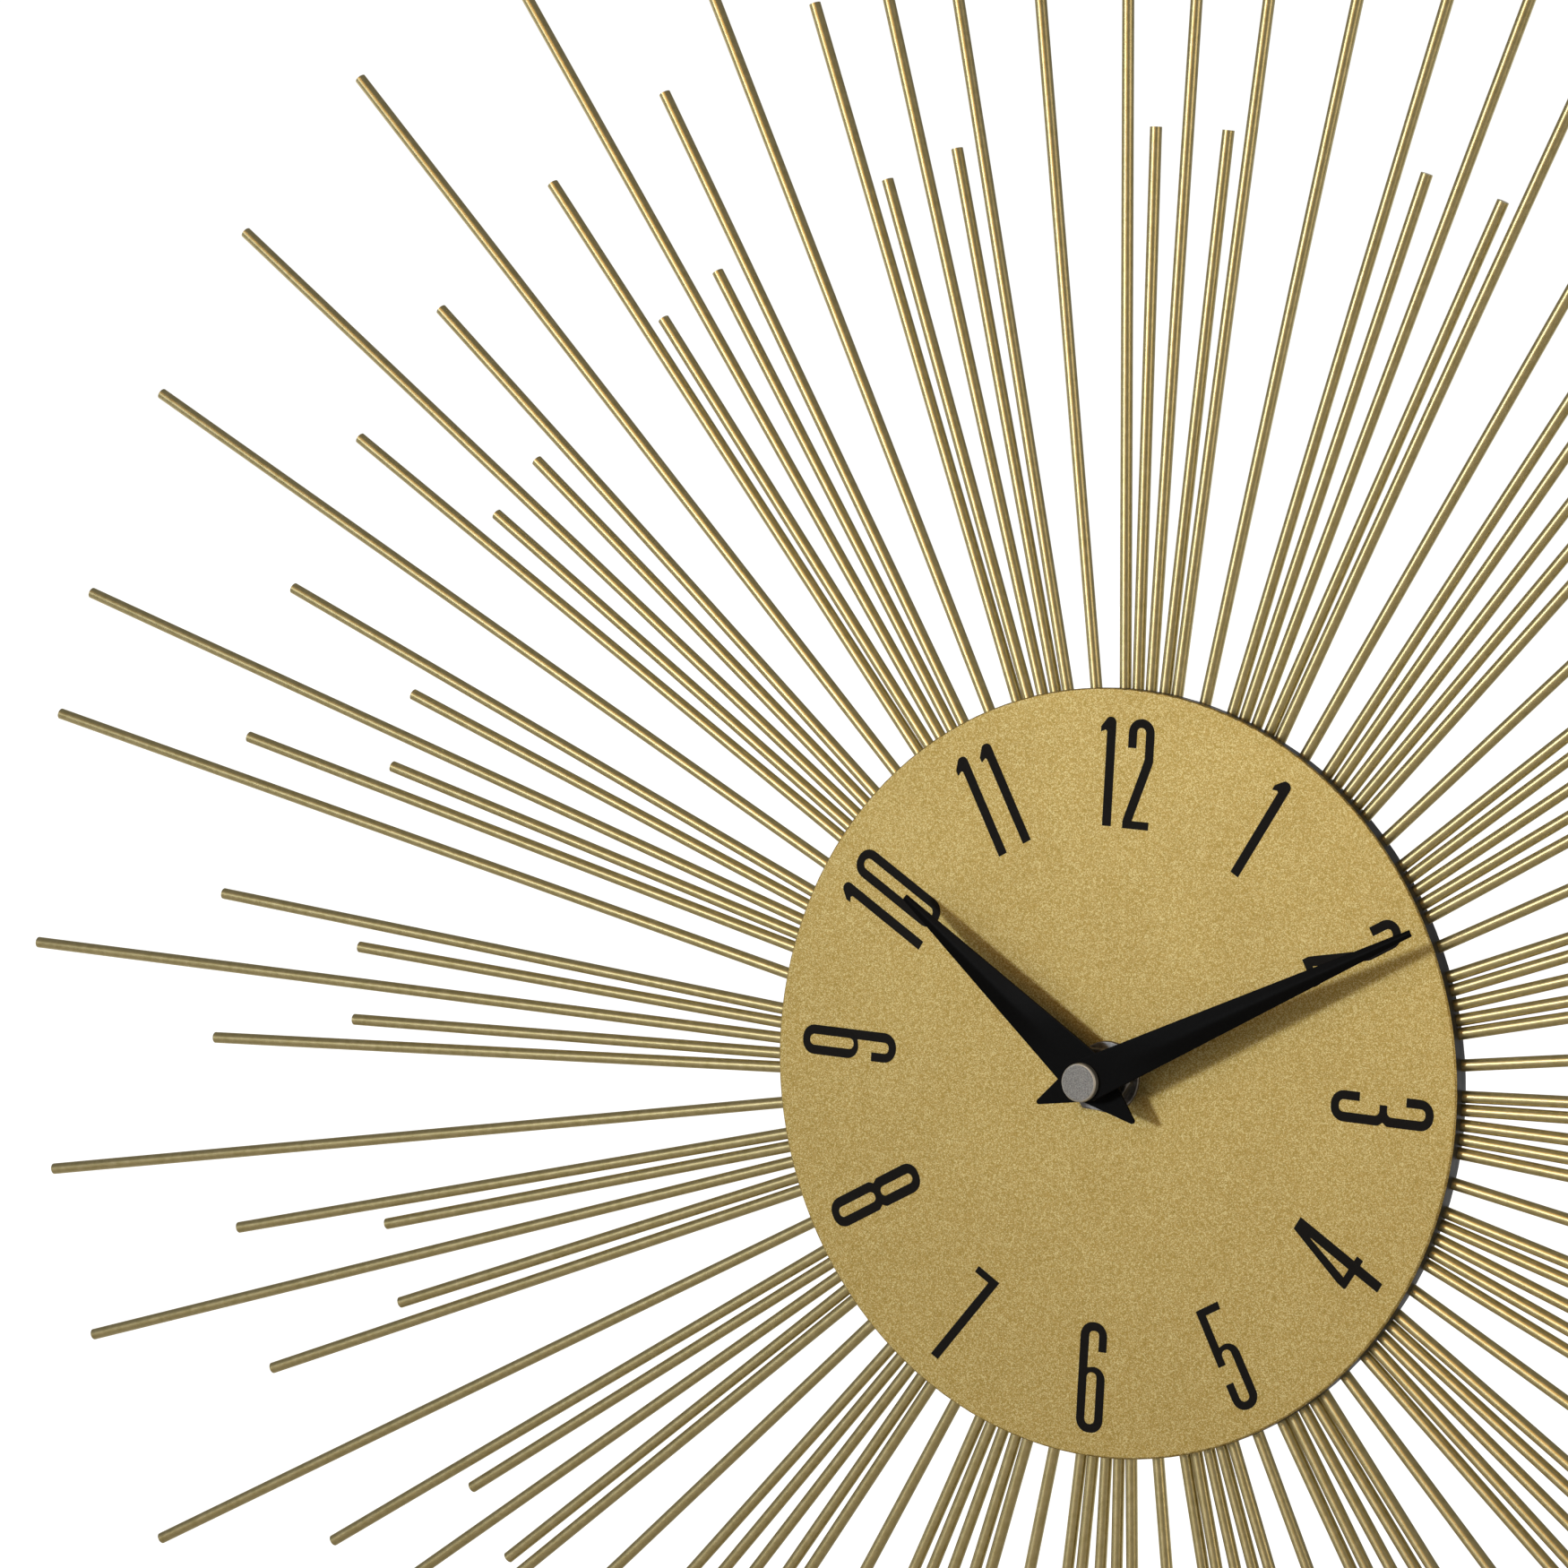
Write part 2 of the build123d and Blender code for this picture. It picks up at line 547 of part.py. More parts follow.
def intermediate_wheel():
    pinion_phase = mesh_phase(0.0, SECONDS_TEETH, PINION_TEETH, INTERMEDIATE_DIRECTION)
    wheel = gear(INTERMEDIATE_TEETH, ROTOR_MODULE, 0.0, *INTERMEDIATE_WHEEL, INTERMEDIATE_AT)
    wheel += gear(PINION_TEETH, TRAIN_MODULE, pinion_phase, *INTERMEDIATE_PINION, INTERMEDIATE_AT)
    return wheel + arbor(INTERMEDIATE_AT, BRIDGE[1] + END_SHAKE, MIDDLE_PLATE[0] - END_SHAKE)


def rotor_pinion():
    phase = mesh_phase(0.0, INTERMEDIATE_TEETH, PINION_TEETH, ROTOR_DIRECTION)
    pinion = gear(PINION_TEETH, ROTOR_MODULE, phase, *ROTOR_PINION, ROTOR_AT)
    return pinion + arbor(ROTOR_AT, BRIDGE[1] + END_SHAKE, MIDDLE_PLATE[0] - END_SHAKE, MAGNET_BORE)


def rotor_magnet():
    return ring(MAGNET_DIAMETER, MAGNET_BORE, *MAGNET, ROTOR_AT)


def middle_plate():
    """The plate between the motion work and the seconds train. The case's posts hold it."""
    left = PLATE_SPAN[0] - PLATE_REACH
    plate = block(left, PLATE_SPAN[1], DIVIDER_TOP + PLATE_GAP, PLATE_TOP, *MIDDLE_PLATE)
    plate -= disc(SECONDS_ARBOR + 3 * PIVOT_CLEARANCE, *MIDDLE_PLATE)
    plate -= disc(2 * ARBOR_DIAMETER, *MIDDLE_PLATE, THIRD_AT)
    for at in POSTS:
        plate -= disc(POST_MIDDLE + POST_CLEARANCE, *MIDDLE_PLATE, at)
    plate -= pivot_hole(MOTION_AT, *MIDDLE_PLATE)
    plate -= pivot_hole(INTERMEDIATE_AT, *MIDDLE_PLATE)
    return plate - pivot_hole(ROTOR_AT, *MIDDLE_PLATE)


def train_bridge():
    """The rear plate that the train's pivots run in."""
    bridge = block(*PLATE_SPAN, DIVIDER_TOP + PLATE_GAP, PLATE_TOP, *BRIDGE)
    for at in (CENTRE, THIRD_AT, INTERMEDIATE_AT, ROTOR_AT):
        bridge -= pivot_hole(at, *BRIDGE)
    for at in POSTS:
        bridge -= disc(POST_PIN + POST_CLEARANCE, *BRIDGE, at)
    return bridge


# ---------------------------------------------------------------- motor and electronics
def stator():
    """The flat iron plate round the rotor. Its two legs meet the coil's core."""
    x_low = ROTOR_AT[0] - COIL_LENGTH / 2 - CORE_OVERHANG
    x_high = ROTOR_AT[0] + COIL_LENGTH / 2 + CORE_OVERHANG
    top = COIL_Z + STATOR_ABOVE
    plate = block(x_low, x_high, ROTOR_AT[1] - STATOR_BELOW, top, *STATOR)
    gap_low = ROTOR_AT[1] + STATOR_BELOW
    plate -= block(x_low + STATOR_LEG, x_high - STATOR_LEG, gap_low, top + 1, *STATOR)
    return plate - disc(MAGNET_DIAMETER + 2 * STATOR_GAP, 0, CASE_DEPTH, ROTOR_AT)


def core_ends():
    """Where the two screws hold the coil's core to the stator's legs."""
    reach = COIL_LENGTH / 2 + SCREW_AT
    return ((ROTOR_AT[0] - reach, COIL_Z), (ROTOR_AT[0] + reach, COIL_Z))


def coil_core():
    reach = COIL_LENGTH / 2 + CORE_OVERHANG
    core = block(
        ROTOR_AT[0] - reach, ROTOR_AT[0] + reach,
        COIL_Z - CORE_WIDTH / 2, COIL_Z + CORE_WIDTH / 2, *CORE,
    )
    for at in core_ends():
        core -= disc(SCREW_DIAMETER, *CORE, at)
    return core


def coil_bobbin():
    """A plastic former: a square tube with a round flange at each end."""
    middle = (CORE[0] + CORE[1]) / 2
    start = (ROTOR_AT[0] - COIL_LENGTH / 2, -middle, COIL_Z)
    across = Plane(origin=start, x_dir=(0, 0, 1), z_dir=(1, 0, 0))
    slot = extrude(across * Rectangle(CORE_WIDTH, CORE[1] - CORE[0]), COIL_LENGTH)
    former = extrude(across * Circle(BOBBIN_TUBE / 2), COIL_LENGTH)
    flange = extrude(across * Circle(COIL_DIAMETER / 2), BOBBIN_FLANGE)
    former += flange + Pos(COIL_LENGTH - BOBBIN_FLANGE, 0, 0) * flange
    return former - slot


def coil_winding():
    middle = (CORE[0] + CORE[1]) / 2
    start = ROTOR_AT[0] - COIL_LENGTH / 2 + BOBBIN_FLANGE
    across = Plane(origin=(start, -middle, COIL_Z), z_dir=(1, 0, 0))
    section = Circle(COIL_DIAMETER / 2 - WINDING_MARGIN) - Circle(BOBBIN_TUBE / 2)
    return extrude(across * section, COIL_LENGTH - 2 * BOBBIN_FLANGE)


def core_screws():
    screws = []
    head_diameter, head_height = SCREW_HEAD
    slot_width, slot_depth = SCREW_SLOT
    head_front = CORE[1] + head_height
    for at in core_ends():
        screw = disc(SCREW_DIAMETER, STATOR[1] + END_SHAKE, CORE[1], at)
        screw += disc(head_diameter, CORE[1], head_front, at)
        slot = Pos(at[0], at[1]) * Rectangle(head_diameter, slot_width)
        screws.append(screw - layer(slot, head_front - slot_depth, head_front + 1))
    return Compound(screws)


def circuit_board():
    """The board, with a wing beside the plates for the two parts that stand on it."""
    low = DIVIDER_TOP + 0.5
    board = block(PLATE_SPAN[0] + 0.5, PLATE_SPAN[1] - 0.4, low, BOARD_TOP, *BOARD)
    board += block(WING_LEFT, PLATE_SPAN[0] + 1, low, WING_TOP, *BOARD)
    for at in POSTS:
        board -= disc(POST_PIN + POST_CLEARANCE, *BOARD, at)
    return board


def quartz_crystal():
    """A small metal can that lies on the board's wing."""
    height = BOARD[1] + CRYSTAL_RADIUS
    start = Plane(origin=(CRYSTAL_AT[0], -height, CRYSTAL_AT[1]), z_dir=(0, 0, 1))
    return extrude(start * Circle(CRYSTAL_RADIUS), CRYSTAL_LENGTH)


def driver_chip():
    """The chip, under a blob of resin."""
    blob = disc(CHIP_DIAMETER, BOARD[1], BOARD[1] + CHIP_HEIGHT, CHIP_AT)
    return fillet(blob.edges().sort_by(Axis.Y)[0], CHIP_ROUND)


# ---------------------------------------------------------------- battery
def battery_cell():
    """A cylindrical cell that lies along X, its nub to the right."""
    start = Plane(origin=(CELL_LEFT, -BATTERY_HEIGHT, BATTERY_Z), z_dir=(1, 0, 0))
    body = extrude(start * Circle(BATTERY_DIAMETER / 2), BATTERY_LENGTH - BATTERY_NUB_LENGTH)
    body = fillet(body.edges().filter_by(GeomType.CIRCLE), BATTERY_ROUND)
    return body + extrude(start * Circle(BATTERY_NUB_DIAMETER / 2), BATTERY_LENGTH)


def battery_contact():
    """The flat contact that meets the nub."""
    x = CELL_LEFT + BATTERY_LENGTH + CONTACT_GAP
    low = BATTERY_Z - CONTACT_HALF_WIDTH
    high = BATTERY_Z + CONTACT_HALF_WIDTH
    return block(x, x + CONTACT_SHEET, low, high, *CONTACT_SPAN)


def battery_spring():
    """A plate on the case's end wall, with a sprung leaf that reaches out to the cell."""
    wall_x = -CASE_HALF_WIDTH + WALL
    cell_x = CELL_LEFT - CONTACT_GAP
    low = BATTERY_Z - CONTACT_HALF_WIDTH
    high = BATTERY_Z + CONTACT_HALF_WIDTH
    plate = block(wall_x, wall_x + CONTACT_SHEET, low, high, *CONTACT_SPAN)
    root_x = wall_x + CONTACT_SHEET / 2
    root_y = -CONTACT_SPAN[1]
    flat_front = -BATTERY_HEIGHT + LEAF_BEND[0]
    flat_back = -BATTERY_HEIGHT + LEAF_BEND[1]
    leaf = Polyline(
        (root_x, root_y), (cell_x, flat_front), (cell_x, flat_back),
        (cell_x - CONTACT_SHEET, flat_back), (cell_x - CONTACT_SHEET, flat_front + 0.2),
        (root_x, root_y + 0.7), close=True,
    )
    across = Plane.XY.offset(BATTERY_Z - LEAF_HALF_WIDTH)
    return plate + extrude(across * make_face(leaf), 2 * LEAF_HALF_WIDTH)


# ---------------------------------------------------------------- case
def hanging_tab():
    """The tab above the case, with its hole for a nail."""
    top = CASE_TOP + HANG_TAB_HEIGHT
    tab = block(
        -HANG_TAB_HALF_WIDTH, HANG_TAB_HALF_WIDTH, CASE_TOP - WALL, top, 0, HANG_TAB_THICKNESS
    )
    tab = fillet(tab.edges().filter_by(Axis.Y).sort_by(Axis.Z)[-2:], HANG_TAB_CORNER)
    return tab - disc(HANG_HOLE_DIAMETER, -1, HANG_TAB_THICKNESS + 1, (0, HANG_HOLE_Z))


def movement_case():
    """A box, open at the back, with a trough for the battery, posts and the hanging tab."""
    height = CASE_TOP - CASE_BOTTOM
    outline = RectangleRounded(2 * CASE_HALF_WIDTH, height, CASE_CORNER)
    inner_half_width = CASE_HALF_WIDTH - WALL
    inner = RectangleRounded(2 * inner_half_width, height - 2 * WALL, CASE_CORNER - WALL)
    case = layer(outline, 0, CASE_DEPTH) - layer(inner, -1, FRONT_INNER)
    case += block(
        -inner_half_width - 0.2, inner_half_width + 0.2, DIVIDER_Z, DIVIDER_TOP, 0, FRONT_INNER + 0.2
    )
    # room for the rear cover, above the middle of the trough's top wall
    room_low = DIVIDER_TOP - WALL / 2
    case -= block(-CASE_HALF_WIDTH - 1, CASE_HALF_WIDTH + 1, room_low, CASE_TOP + 1, -1, WALL)
    case += hanging_tab()
    for at in POSTS:
        case += disc(POST_FOOT, MIDDLE_PLATE[1], FRONT_INNER + 0.2, at)
        case += disc(POST_MIDDLE, BRIDGE[1], FRONT_INNER, at)
        case += disc(POST_PIN, BOARD[0], FRONT_INNER, at)
    case -= disc(BUSHING_FLANGE, 0, CASE_DEPTH - BUSHING_SEAT)
    case -= disc(BUSHING_DIAMETER, 0, CASE_DEPTH + 1)
    for at in (MOTION_AT, THIRD_AT, SETTING_AT):
        case -= pivot_hole(at, FRONT_INNER - 1, FRONT_INNER + PIVOT_LENGTH + END_SHAKE)
    return case


def rear_cover():
    """A plate over the train, with a well for the setting knob."""
    low = DIVIDER_TOP - WALL / 2
    cover = block(-CASE_HALF_WIDTH, CASE_HALF_WIDTH, low, CASE_TOP, 0, WALL)
    notch = HANG_TAB_HALF_WIDTH + COVER_GAP
    cover -= block(-notch, notch, CASE_TOP - WALL - COVER_GAP, CASE_TOP + 1, -1, WALL + 1)
    cover += disc(KNOB_WELL_DIAMETER, 0, KNOB_WELL_FLOOR + KNOB_WELL_WALL, SETTING_AT)
    cover -= disc(KNOB_WELL_DIAMETER - 2 * KNOB_WELL_WALL, -1, KNOB_WELL_FLOOR, SETTING_AT)
    stem_hole = KNOB_STEM + 0.1
    return cover - disc(stem_hole, -1, KNOB_WELL_FLOOR + 2 * KNOB_WELL_WALL, SETTING_AT)


# ---------------------------------------------------------------- write everything
def main():
    os.makedirs("parts", exist_ok=True)
    for number in range(SECTORS):
        save(f"ray_sector_{number + 1:02d}", ray_sector(number))
    makers = (
        dial_plate, backing_plate, spacer_ring, gasket, threaded_bushing, dial_washer, hex_nut,
        hour_hand, minute_hand, cap_nut, minute_spindle, hour_wheel, motion_wheel, setting_knob,
        centre_wheel, third_wheel, seconds_wheel, intermediate_wheel, rotor_pinion, rotor_magnet,
        middle_plate, train_bridge, stator, coil_core, coil_bobbin, coil_winding, core_screws,
        circuit_board, quartz_crystal, driver_chip, battery_cell, battery_contact, battery_spring,
        movement_case, rear_cover,
    )
    for maker in makers:
        save(maker.__name__, maker())


main()
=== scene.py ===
"""The looks of a sunburst wall clock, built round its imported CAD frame.

Everything is in metres in the CAD frame: the hands turn about Y, the wall is the plane Y = 0,
the clock faces -Y, +X is to the reader's right and +Z is up.
"""

from __future__ import annotations

import logging
from dataclasses import dataclass
from enum import Enum
from math import cos, pi, radians, sin, tan
from typing import Any, Callable, Sequence

import bpy
from mathutils import Matrix, Vector


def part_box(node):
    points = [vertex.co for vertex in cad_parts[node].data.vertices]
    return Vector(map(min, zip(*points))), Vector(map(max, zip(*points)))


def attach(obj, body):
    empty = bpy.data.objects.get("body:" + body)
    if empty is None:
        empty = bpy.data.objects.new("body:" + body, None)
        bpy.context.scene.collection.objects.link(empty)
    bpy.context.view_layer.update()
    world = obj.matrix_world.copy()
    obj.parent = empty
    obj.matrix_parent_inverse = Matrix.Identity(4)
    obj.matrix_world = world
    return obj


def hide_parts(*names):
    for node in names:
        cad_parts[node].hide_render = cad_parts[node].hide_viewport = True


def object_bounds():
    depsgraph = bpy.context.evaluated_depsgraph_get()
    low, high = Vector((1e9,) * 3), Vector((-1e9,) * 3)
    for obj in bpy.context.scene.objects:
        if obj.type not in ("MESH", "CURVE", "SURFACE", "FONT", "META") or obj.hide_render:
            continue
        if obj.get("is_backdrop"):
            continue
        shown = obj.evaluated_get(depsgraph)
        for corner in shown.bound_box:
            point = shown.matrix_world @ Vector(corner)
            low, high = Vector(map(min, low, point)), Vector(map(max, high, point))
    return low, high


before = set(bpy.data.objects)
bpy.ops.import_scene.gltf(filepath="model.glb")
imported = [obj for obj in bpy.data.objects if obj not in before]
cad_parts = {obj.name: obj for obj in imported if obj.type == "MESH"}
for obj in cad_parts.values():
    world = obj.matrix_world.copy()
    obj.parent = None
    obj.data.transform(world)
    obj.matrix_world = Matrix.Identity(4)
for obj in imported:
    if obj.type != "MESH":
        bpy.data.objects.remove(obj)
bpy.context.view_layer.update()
MM = 0.001
WAVE_BAND = 0.31  # how wide a band of Blender's wave texture is at scale 1
LOG = logging.getLogger("sunburst_clock")
Colour = tuple[float, float, float, float]
Point = tuple[float, float]


# ------------------------------------------------------------------ small tools
def linear(hex_value: str) -> Colour:
    """Turns an sRGB hex colour to the linear values that a shader takes.

    Args:
        hex_value: Six hex digits.

    Returns:
        Red, green, blue and alpha.
    """
    shares = [int(hex_value[i : i + 2], 16) / 255 for i in (0, 2, 4)]
    lifted = [c / 12.92 if c <= 0.04045 else ((c + 0.055) / 1.055) ** 2.4 for c in shares]
    return (lifted[0], lifted[1], lifted[2], 1.0)


def add_node(
    material: bpy.types.Material,
    kind: str,
    settings: dict[str | int, Any] | None = None,
    links: dict[str | int, bpy.types.NodeSocket] | None = None,
) -> bpy.types.Node:
    """Adds a shader node.

    Args:
        material: The material or world that the node goes into.
        kind: The node's type name.
        settings: Input values by socket name or number, and node properties by name.
        links: The socket that feeds each input, by the input's name or number.

    Returns:
        The new node.
    """
    made = material.node_tree.nodes.new(kind)
    for key, value in (settings or {}).items():
        if isinstance(key, int) or key in made.inputs:
            made.inputs[key].default_value = value
        else:
            setattr(made, key, value)
    for key, socket in (links or {}).items():
        material.node_tree.links.new(socket, made.inputs[key])
    return made


def deselect() -> None:
    """Leaves nothing selected and no object in edit mode."""
    if bpy.context.object is not None and bpy.context.object.mode != "OBJECT":
        bpy.ops.object.mode_set(mode="OBJECT")
    bpy.ops.object.select_all(action="DESELECT")


def activate(piece: bpy.types.Object) -> bpy.types.Object:
    """Selects one object alone and makes it the active one."""
    deselect()
    piece.select_set(True)
    bpy.context.view_layer.objects.active = piece
    return piece


def settle(piece: bpy.types.Object) -> bpy.types.Object:
    """Puts a piece's place, turn and size into its mesh."""
    activate(piece)
    bpy.ops.object.transform_apply(location=True, rotation=True, scale=True)
    return piece


def apply_modifier(piece: bpy.types.Object, kind: str, **settings: Any) -> None:
    """Adds a modifier with its settings and applies it."""
    activate(piece)
    modifier = piece.modifiers.new(kind.title(), kind)
    for key, value in settings.items():
        setattr(modifier, key, value)
    bpy.ops.object.modifier_apply(modifier=modifier.name)


def dress(piece: bpy.types.Object, material: bpy.types.Material) -> bpy.types.Object:
    """Gives every face of a piece one material."""
    piece.data.materials.clear()
    piece.data.materials.append(material)
    return piece


def finish_piece(
    piece: bpy.types.Object, name: str, body: str, material: bpy.types.Material
) -> bpy.types.Object:
    """Names and dresses a new piece, and fastens it to a CAD body.

    Args:
        piece: The object, with its mesh final.
        name: The piece's name.
        body: The CAD body that it rides on.
        material: Its material.

    Returns:
        The same object.
    """
    piece.name = name
    piece.data.name = name
    dress(piece, material)
    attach(piece, body)
    LOG.info("%s: %d faces on %s", name, len(piece.data.polygons), body)
    return piece


# ------------------------------------------------------------------ finishes
@dataclass(frozen=True)
class Finish:
    """A surface of one stuff, with a grain of its own.

    The grain mixes two colours, moves the roughness up and down and stands out a little.
    """

    name: str
    colour: str
    grain_colour: str
    roughness: float
    metallic: float = 0.0
    ior: float = 1.5
    grain_mm: float = 0.6
    relief_mm: float = 0.01
    roughness_swing: float = 0.12
    mottle_mm: float = 14.0
    coat: float = 0.0
    coat_roughness: float = 0.12
    specular: float = 0.5

    def material(self) -> bpy.types.Material:
        """Returns the finish's material, which is built once."""
        found = bpy.data.materials.get(self.name)
        if found is not None:
            return found
        made = bpy.data.materials.new(self.name)
        made.use_nodes = True
        made.node_tree.nodes.clear()
        place = add_node(made, "ShaderNodeTexCoord").outputs["Object"]
        surface = self.surface(made, place)
        add_node(made, "ShaderNodeOutputMaterial", links={"Surface": surface.outputs["BSDF"]})
        return made

    def grain(self, made: bpy.types.Material, place: bpy.types.NodeSocket) -> bpy.types.NodeSocket:
        """Returns the grain's height, from 0 to 1."""
        scale = 1 / (self.grain_mm * MM)
        noise = add_node(
            made, "ShaderNodeTexNoise", {"Scale": scale, "Detail": 3.0, "Roughness": 0.6}, {"Vector": place}
        )
        return noise.outputs["Fac"]

    def tint(
        self, made: bpy.types.Material, place: bpy.types.NodeSocket, grain: bpy.types.NodeSocket
    ) -> bpy.types.NodeSocket:
        """Returns the colour: the grain's mix of the two tones."""
        ramp = add_node(made, "ShaderNodeValToRGB", links={"Fac": grain})
        ramp.color_ramp.elements[0].position = 0.3
        ramp.color_ramp.elements[0].color = linear(self.grain_colour)
        ramp.color_ramp.elements[1].position = 0.7
        ramp.color_ramp.elements[1].color = linear(self.colour)
        return ramp.outputs["Color"]

    def surface(self, made: bpy.types.Material, place: bpy.types.NodeSocket) -> bpy.types.Node:
        """Builds the shader and returns it."""
        grain = self.grain(made, place)
        mottle = add_node(
            made, "ShaderNodeTexNoise", {"Scale": 1 / (self.mottle_mm * MM), "Detail": 4.0}, {"Vector": place}
        )
        both = add_node(
            made, "ShaderNodeMath", {"operation": "MULTIPLY_ADD", 1: 0.5},
            {0: grain, 2: add_node(made, "ShaderNodeMath", {"operation": "MULTIPLY", 1: 0.5},
                                   {0: mottle.outputs["Fac"]}).outputs[0]},
        )
        smoothest = self.roughness - self.roughness_swing
        roughest = self.roughness + self.roughness_swing
        rough = add_node(
            made, "ShaderNodeMapRange", {"To Min": smoothest, "To Max": roughest}, {"Value": both.outputs[0]}
        )
        shader = add_node(
            made, "ShaderNodeBsdfPrincipled",
            {"Metallic": self.metallic, "Coat Weight": self.coat, "Coat Roughness": self.coat_roughness,
             "Specular IOR Level": self.specular},
            {"Base Color": self.tint(made, place, grain), "Roughness": rough.outputs["Result"]},
        )
        if self.metallic < 0.5:
            shader.inputs["IOR"].default_value = self.ior
        if self.relief_mm > 0:
            bump = add_node(
                made, "ShaderNodeBump", {"Strength": 1.0, "Distance": self.relief_mm * MM}, {"Height": grain}
            )
            made.node_tree.links.new(bump.outputs["Normal"], shader.inputs["Normal"])
        return shader


@dataclass(frozen=True)
class FlakePaint(Finish):
    """Metallic paint: small flakes, each with its own brightness and lean."""

    bright_colour: str = "ffffff"
    flake_mm: float = 0.3
    noise_share: float = 0.45  # of the fine noise in a flake's brightness
    dull_end: float = 0.2
    plain_at: float = 0.5
    bright_start: float = 0.82

    def grain(self, made: bpy.types.Material, place: bpy.types.NodeSocket) -> bpy.types.NodeSocket:
        """Returns one random value for each flake, blurred a little by a finer noise."""
        scale = 1 / (self.flake_mm * MM)
        flakes = add_node(made, "ShaderNodeTexVoronoi", {"Scale": scale, "feature": "F1"}, {"Vector": place})
        share = add_node(made, "ShaderNodeSeparateColor", links={"Color": flakes.outputs["Color"]})
        noise = super().grain(made, place)
        return add_node(
            made, "ShaderNodeMix", {"data_type": "FLOAT", "Factor": self.noise_share},
            {2: share.outputs["Red"], 3: noise},
        ).outputs[0]

    def tint(
        self, made: bpy.types.Material, place: bpy.types.NodeSocket, grain: bpy.types.NodeSocket
    ) -> bpy.types.NodeSocket:
        """Returns the colour: dull flakes, plain ones and a few bright ones."""
        ramp = add_node(made, "ShaderNodeValToRGB", links={"Fac": grain})
        ramp.color_ramp.elements[0].position = self.dull_end
        ramp.color_ramp.elements[0].color = linear(self.grain_colour)
        ramp.color_ramp.elements[1].position = self.plain_at
        ramp.color_ramp.elements[1].color = linear(self.colour)
        bright = ramp.color_ramp.elements.new(self.bright_start)
        bright.color = linear(self.bright_colour)
        return ramp.outputs["Color"]


@dataclass(frozen=True)
class TurnedMetal(Finish):
    """Metal turned on a lathe about Y: fine rings round its axis."""

    ring_mm: float = 0.25

    def grain(self, made: bpy.types.Material, place: bpy.types.NodeSocket) -> bpy.types.NodeSocket:
        """Returns the rings, broken up by noise."""
        waves = add_node(
            made, "ShaderNodeTexWave",
            {"wave_type": "RINGS", "rings_direction": "Y", "Scale": WAVE_BAND / (self.ring_mm * MM),
             "Distortion": 1.5, "Detail": 2.0, "Detail Scale": 3.0},
            {"Vector": place},
        )
        return add_node(
            made, "ShaderNodeMix", {"data_type": "FLOAT", "Factor": 0.5},
            {2: waves.outputs["Fac"], 3: super().grain(made, place)},
        ).outputs[0]


@dataclass(frozen=True)
class RimmedMetal(Finish):
    """Frosted metal about Y whose rim is painted lighter: a painted highlight."""

    # painted highlight: the lighter colour on the rounded rim
    rim_colour: str = "ffffff"
    rim_mm: float = 3.0
    blend_mm: float = 0.12  # over which the frost ends

    def tint(
        self, made: bpy.types.Material, place: bpy.types.NodeSocket, grain: bpy.types.NodeSocket
    ) -> bpy.types.NodeSocket:
        """Returns the colour: frosted inside the rim, with a painted highlight on it."""
        flat = add_node(
            made, "ShaderNodeVectorMath", {"operation": "MULTIPLY", 1: (1.0, 0.0, 1.0)}, {0: place}
        )
        distance = add_node(made, "ShaderNodeVectorMath", {"operation": "LENGTH"}, {0: flat.outputs[0]})
        share = add_node(
            made, "ShaderNodeMapRange",
            {"From Min": self.rim_mm * MM, "From Max": (self.rim_mm + self.blend_mm) * MM},
            {"Value": distance.outputs["Value"]},
        )
        # the rim's lighter colour is a painted highlight
        mixed = add_node(
            made, "ShaderNodeMix", {"data_type": "RGBA", 7: linear(self.rim_colour)},
            {0: share.outputs["Result"], 6: super().tint(made, place, grain)},
        )
        return mixed.outputs[2]


@dataclass(frozen=True)
class WoundWire(Finish):
    """Enamelled wire wound about X: its turns lie side by side."""

    wire_mm: float = 0.3

    def grain(self, made: bpy.types.Material, place: bpy.types.NodeSocket) -> bpy.types.NodeSocket:
        """Returns the turns' rounded tops."""
        waves = add_node(
            made, "ShaderNodeTexWave",
            {"bands_direction": "X", "Scale": WAVE_BAND / (self.wire_mm * MM), "Distortion": 0.3},
            {"Vector": place},
        )
        return waves.outputs["Fac"]


